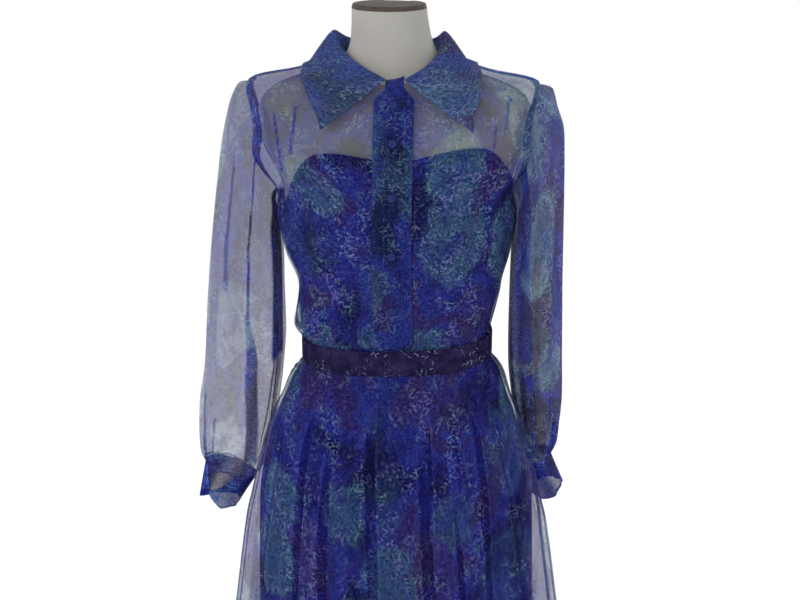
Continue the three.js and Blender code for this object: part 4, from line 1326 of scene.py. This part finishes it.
class DRESS_OT_cuffs(bpy.types.Operator):
    """Sews the loose open cuffs to the wrists"""
    bl_idname = "dress.cuffs"
    bl_label = "Cuffs"

    def execute(self, context):
        sizes = context.scene.dress_sizes
        for index, (name, side) in enumerate(SIDES):
            start = {key: values[-1] for key, values in SLEEVES[name].items()}
            end = dict(zip(SECTION.split(), CUFFS[name]["end"]))
            slit, length = CUFFS[name]["slit"], CUFFS[name]["length"]
            u, v = np.meshgrid(np.linspace(0, 1, 141), np.linspace(0.012, 1, 41))
            degrees = lerp(lerp(*slit["from"], v), lerp(*slit["to"], v), u)
            place = np.interp(degrees, length["angle"], np.arange(len(length["angle"])))
            part = row_at({"part": length["part"]}, place)["part"]
            reach = v * part
            wider = 2.5 * u * v
            row = {key: lerp(start[key], end[key], reach) for key in start}
            row = {**row, "outX": row["outX"] + wider, "inX": row["inX"] - wider, "half": row["half"] + wider}
            points = section_point(row, side, np.radians(degrees))
            soft = v * waves(degrees + 20 * v, [(72, 1.6, 0.7), (41, 0.9, 2.9), (23, 0.4, 1.1)])
            points = pushed(points, soft)
            hem = np.minimum(side_distance(points), row_distance(points, False))
            layers = CUFFS[name]["layers"] + 0.8 * waves(degrees + 40 * v, [(150, 1, 0.4), (67, 0.5, 2.2)])
            layers = np.maximum(layers, seam_layers(hem, WIDTHS["cuff_hem"], LAYERS["cuff_hem"]))
            shift = (index * 0.4, 2.6)
            piece = cloth_piece(f"chiffon_cuff_{name}", points, sizes.doubled, layers=layers, shift=shift)
            cloth = chiffon("printed silk chiffon")
            hand_over(piece, cloth, f"cuff_{name}")
        return {"FINISHED"}


def collar_shift(y):
    """The collar sits slightly askew: its sideways shift by depth."""
    share = (np.clip(y, COLLAR_SHIFT["frontY"], 0) - COLLAR_SHIFT["frontY"]) / -COLLAR_SHIFT["frontY"]
    return lerp(COLLAR_SHIFT["front"], COLLAR_SHIFT["side"], share)


def collar_grid(tree, columns, count):
    """The collar from its neck seam, over the roll line, to the edge of the leaf."""
    last = last_row(COLLAR)
    turn, v = np.meshgrid(np.linspace(-last, last, columns + 1), np.linspace(0, 1, count + 1))
    row = row_at(COLLAR, last - np.abs(turn))
    side = np.where(turn < 0, -1, 1)
    roll = np.stack([side * row["rollX"] + collar_shift(row["rollY"]), row["rollY"], row["rollZ"]], -1)
    edge = np.stack([side * row["edgeX"] + collar_shift(row["edgeY"]), row["edgeY"], row["edgeZ"]], -1)
    neckline = {key: values[-1] for key, values in BODICE.items()}
    neckline.update(cx=0.0, a=neckline["a"] - 5, bf=neckline["bf"] - 1.9, bb=neckline["bb"] - 2)
    neck = ring_point(neckline, side * np.radians(row["seam"]))
    neck = neck + np.stack([collar_shift(neck[..., 1]), 0 * turn, 0 * turn + 1], -1)
    handle = (roll - 0.125 * neck - 0.125 * edge) / 0.75
    t = v[..., None]
    points = neck * (1 - t) ** 3 + handle * (3 * t * (1 - t)) + edge * t ** 3
    lift = COLLAR_REST["lift"] + COLLAR_REST["front_lift"] * smoothstep(np.abs(turn), last - 1.5, last)
    heart = np.array(COLLAR_REST["heart"], float)
    for j, i in zip(*np.nonzero(v > 0.4)):
        out = points[j, i] - heart
        far = np.linalg.norm(out)
        way = out / far
        hit = tree.ray_cast(Vector(heart + way * 500), Vector(-way), 500)[0]
        if hit is not None:
            floor = np.linalg.norm(np.array(hit) - heart) + lift[j, i]
            settle = smoothstep(v[j, i], 0.4, 0.55)
            points[j, i] = heart + way * max(far, lerp(far, floor, settle))
    return points


class DRESS_OT_collar(bpy.types.Operator):
    """Rolls the pointed collar over the neckline"""
    bl_idname = "dress.collar"
    bl_label = "Collar"

    def execute(self, context):
        sizes = context.scene.dress_sizes
        points = collar_grid(bodice_tree(), 180, 44)
        edge = np.minimum(side_distance(points), row_distance(points, False))
        points = pushed(points, 0.5 * smoothstep(edge, 0, 4) - stitch_line(edge, "collar"))
        layers = seam_layers(edge, WIDTHS["collar"], LAYERS["collar_edge"]) + LAYERS["collar"]
        piece = cloth_piece("chiffon_collar", points, sizes.doubled, layers=layers, shift=(0.9, 3.1))
        cloth = chiffon("doubled printed chiffon")
        hand_over(piece, cloth, "collar")
        return {"FINISHED"}


def band_grid(columns, count, lift):
    """The button band down the centre front, out from the bodice by lift."""
    top = last_row(BODICE)
    positions = np.linspace(1.35, top, count + 1)
    u, v = np.meshgrid(np.linspace(-1, 1, columns + 1), np.append(positions, top + 0.3))
    ring = row_at(BODICE, v)
    half = lerp(BAND["half"], BAND["top_half"], smoothstep(v, top - 1.1, top - 0.2))
    x = BAND["centre"] + u * half
    angle = np.arcsin(power((x - ring["cx"]) / ring["a"], ring["n"] / 2))
    return pushed(tilted(ring_point(ring, angle)), np.full(u.shape, float(lift)))


class DRESS_OT_placket(bpy.types.Operator):
    """Lays the doubled button band down the front"""
    bl_idname = "dress.placket"
    bl_label = "Button band"

    def execute(self, context):
        sizes = context.scene.dress_sizes
        points = band_grid(24, 150, BAND["lift"] + sizes.doubled / MM)
        edge = side_distance(points)
        points = pushed(points, -stitch_line(edge, "band"))
        layers = seam_layers(edge, WIDTHS["band"], LAYERS["band_edge"]) + LAYERS["band"]
        piece = cloth_piece("chiffon_placket", points, sizes.doubled, layers=layers, shift=(1.4, 3.3))
        cloth = chiffon("banded printed chiffon")
        hand_over(piece, cloth, "placket")
        return {"FINISHED"}


class DRESS_OT_buttons(bpy.types.Operator):
    """Makes one covered button and sews its copies down the band"""
    bl_idname = "dress.buttons"
    bl_label = "Covered buttons"

    def execute(self, context):
        points = band_grid(24, 400, BAND["lift"] + context.scene.dress_sizes.doubled / MM)
        middle = points.shape[1] // 2
        line, normals = points[:, middle], normals_of(points)[:, middle]
        deselect()
        radius = BUTTONS["radius"] * MM
        bpy.ops.mesh.primitive_uv_sphere_add(segments=32, ring_count=16, radius=radius)
        first = bpy.context.active_object
        bpy.ops.object.mode_set(mode="EDIT")
        bpy.ops.mesh.bisect(plane_co=(0, 0, 0), plane_no=(0, 0, 1), use_fill=True, clear_inner=True)
        bpy.ops.mesh.select_all(action="SELECT")
        bpy.ops.transform.resize(value=(1, 1, BUTTONS["rise"] / BUTTONS["radius"]))
        bpy.ops.object.mode_set(mode="OBJECT")
        bpy.ops.object.shade_smooth_by_angle(angle=math.radians(50))
        cloth = chiffon("banded printed chiffon")
        for index, height in enumerate(BUTTONS["heights"]):
            row = int(np.argmin(np.abs(line[:, 2] - height)))
            mesh = first.data.copy()
            button = bpy.data.objects.new(f"covered_button_{index + 1}", mesh)
            context.scene.collection.objects.link(button)
            turn = Vector((0, 0, 1)).rotation_difference(Vector(normals[row])).to_matrix().to_4x4()
            turn.translation = Vector((line[row] + normals[row] * BUTTONS["lift"]) * MM)
            mesh.transform(turn)
            layers = mesh.attributes.new("layers", "FLOAT", "POINT")
            layers.data.foreach_set("value", np.full(len(mesh.vertices), LAYERS["button"]))
            hand_over(button, cloth, f"button_{index + 1}")
        bpy.data.objects.remove(first)
        return {"FINISHED"}


class DRESS_OT_belt(bpy.types.Operator):
    """Makes the plain covered belt round the waist"""
    bl_idname = "dress.belt"
    bl_label = "Belt"

    def execute(self, context):
        angles = np.linspace(0, 2 * math.pi, 260, endpoint=False)
        u, z = np.meshgrid(angles, np.linspace(BELT["bottom"], BELT["top"], 25))
        ring = {"zf": z, "zs": z, "zb": z, "cx": 0.0, "cy": 0.0, "a": BELT["width"], "bf": BELT["front"],
                "bb": BELT["back"], "n": SQUARENESS, "bust": 0.0}
        points = tilted(ring_point(ring, u))
        edge = np.minimum(z - BELT["bottom"], BELT["top"] - z)
        slanted = np.degrees(u) + (z - BELT["bottom"])
        buckled = 0.5 * waves(slanted, [(47, 1, 0.3), (31, 0.7, 2.0), (83, 0.9, 4.0)])
        eased = -0.8 * (1 - smoothstep(edge, 0, 2.5))
        points = pushed(points, eased - stitch_line(edge, "belt") + 0.4 * buckled, closed=True)
        piece = cloth_piece("covered_belt", points, BELT["wall"] * MM * 0.9, True, shift=(0.3, 4.2))
        cloth = made_once(belt_material, "covered belt")
        hand_over(piece, cloth, "belt")
        return {"FINISHED"}


# ---- stage ----
class DRESS_OT_stage(bpy.types.Operator):
    """Sets the pale floor, the soft light and the camera"""
    bl_idname = "dress.stage"
    bl_label = "Stage"

    def execute(self, context):
        stage = context.scene.dress_stage
        deselect()
        bpy.ops.mesh.primitive_circle_add(vertices=96, radius=stage.reach, fill_type="NGON")
        floor = context.active_object
        floor.name = floor.data.name = "paper_floor"
        floor.data.materials.append(stage_material("studio paper", list(stage.paper), PAPER_GLOW))
        world = bpy.data.worlds.new("studio")
        world.use_nodes = True
        background = world.node_tree.nodes["Background"]
        background.inputs["Color"].default_value = (1, 1, 1, 1)
        background.inputs["Strength"].default_value = stage.sky
        context.scene.world = world
        for name, (place, size, power_share) in LIGHTS.items():
            data = bpy.data.lights.new(name, "AREA")
            data.shape, data.size, data.energy = "DISK", size, stage.key * power_share
            light = bpy.data.objects.new(name, data)
            context.scene.collection.objects.link(light)
            light.location = place
            light.rotation_euler = (Vector(LIT) - light.location).to_track_quat("-Z", "Y").to_euler()
        azimuth, pitch = math.radians(CAMERA["azimuth"]), math.radians(CAMERA["pitch"])
        back = Vector((
            math.sin(azimuth) * math.cos(pitch), -math.cos(azimuth) * math.cos(pitch), math.sin(pitch),
        ))
        data = bpy.data.cameras.new("camera")
        data.lens, data.sensor_width = stage.lens, CAMERA["sensor"]
        camera = bpy.data.objects.new("camera", data)
        context.scene.collection.objects.link(camera)
        camera.location = Vector(CAMERA["target"]) + back * CAMERA["distance"]
        camera.rotation_euler = (-back).to_track_quat("-Z", "Y").to_euler()
        context.scene.camera = camera
        context.scene.view_settings.view_transform = "Standard"
        context.scene.cycles.transparent_max_bounces = 32
        return {"FINISHED"}


OPERATORS = (
    DRESS_OT_stage, DRESS_OT_form, DRESS_OT_stand, DRESS_OT_lining, DRESS_OT_bodice, DRESS_OT_placket,
    DRESS_OT_buttons, DRESS_OT_skirt, DRESS_OT_belt, DRESS_OT_sleeves, DRESS_OT_cuffs, DRESS_OT_collar,
)
SETTINGS = {"dress_colours": DressColours, "dress_sizes": DressSizes, "dress_stage": DressStage}


class DRESS_PT_panel(bpy.types.Panel):
    """Lists the pieces and their settings"""
    bl_idname = "DRESS_PT_panel"
    bl_label = "Cocktail dress"
    bl_space_type = "VIEW_3D"
    bl_region_type = "UI"
    bl_category = "Dress"

    def draw(self, context):
        for operator in OPERATORS:
            self.layout.operator(operator.bl_idname)
        for name, kind in SETTINGS.items():
            box = self.layout.box()
            for setting in kind.__annotations__:
                box.prop(getattr(context.scene, name), setting)


def register():
    for kind in (*SETTINGS.values(), *OPERATORS, DRESS_PT_panel):
        bpy.utils.register_class(kind)
    for name, kind in SETTINGS.items():
        setattr(bpy.types.Scene, name, PointerProperty(type=kind))


def unregister():
    for name in SETTINGS:
        delattr(bpy.types.Scene, name)
    for kind in (DRESS_PT_panel, *reversed(OPERATORS), *reversed(SETTINGS.values())):
        bpy.utils.unregister_class(kind)


def main():
    register()
    for operator in OPERATORS:
        group, name = operator.bl_idname.split(".")
        getattr(getattr(bpy.ops, group), name)()


if __name__ == "__main__":
    main()
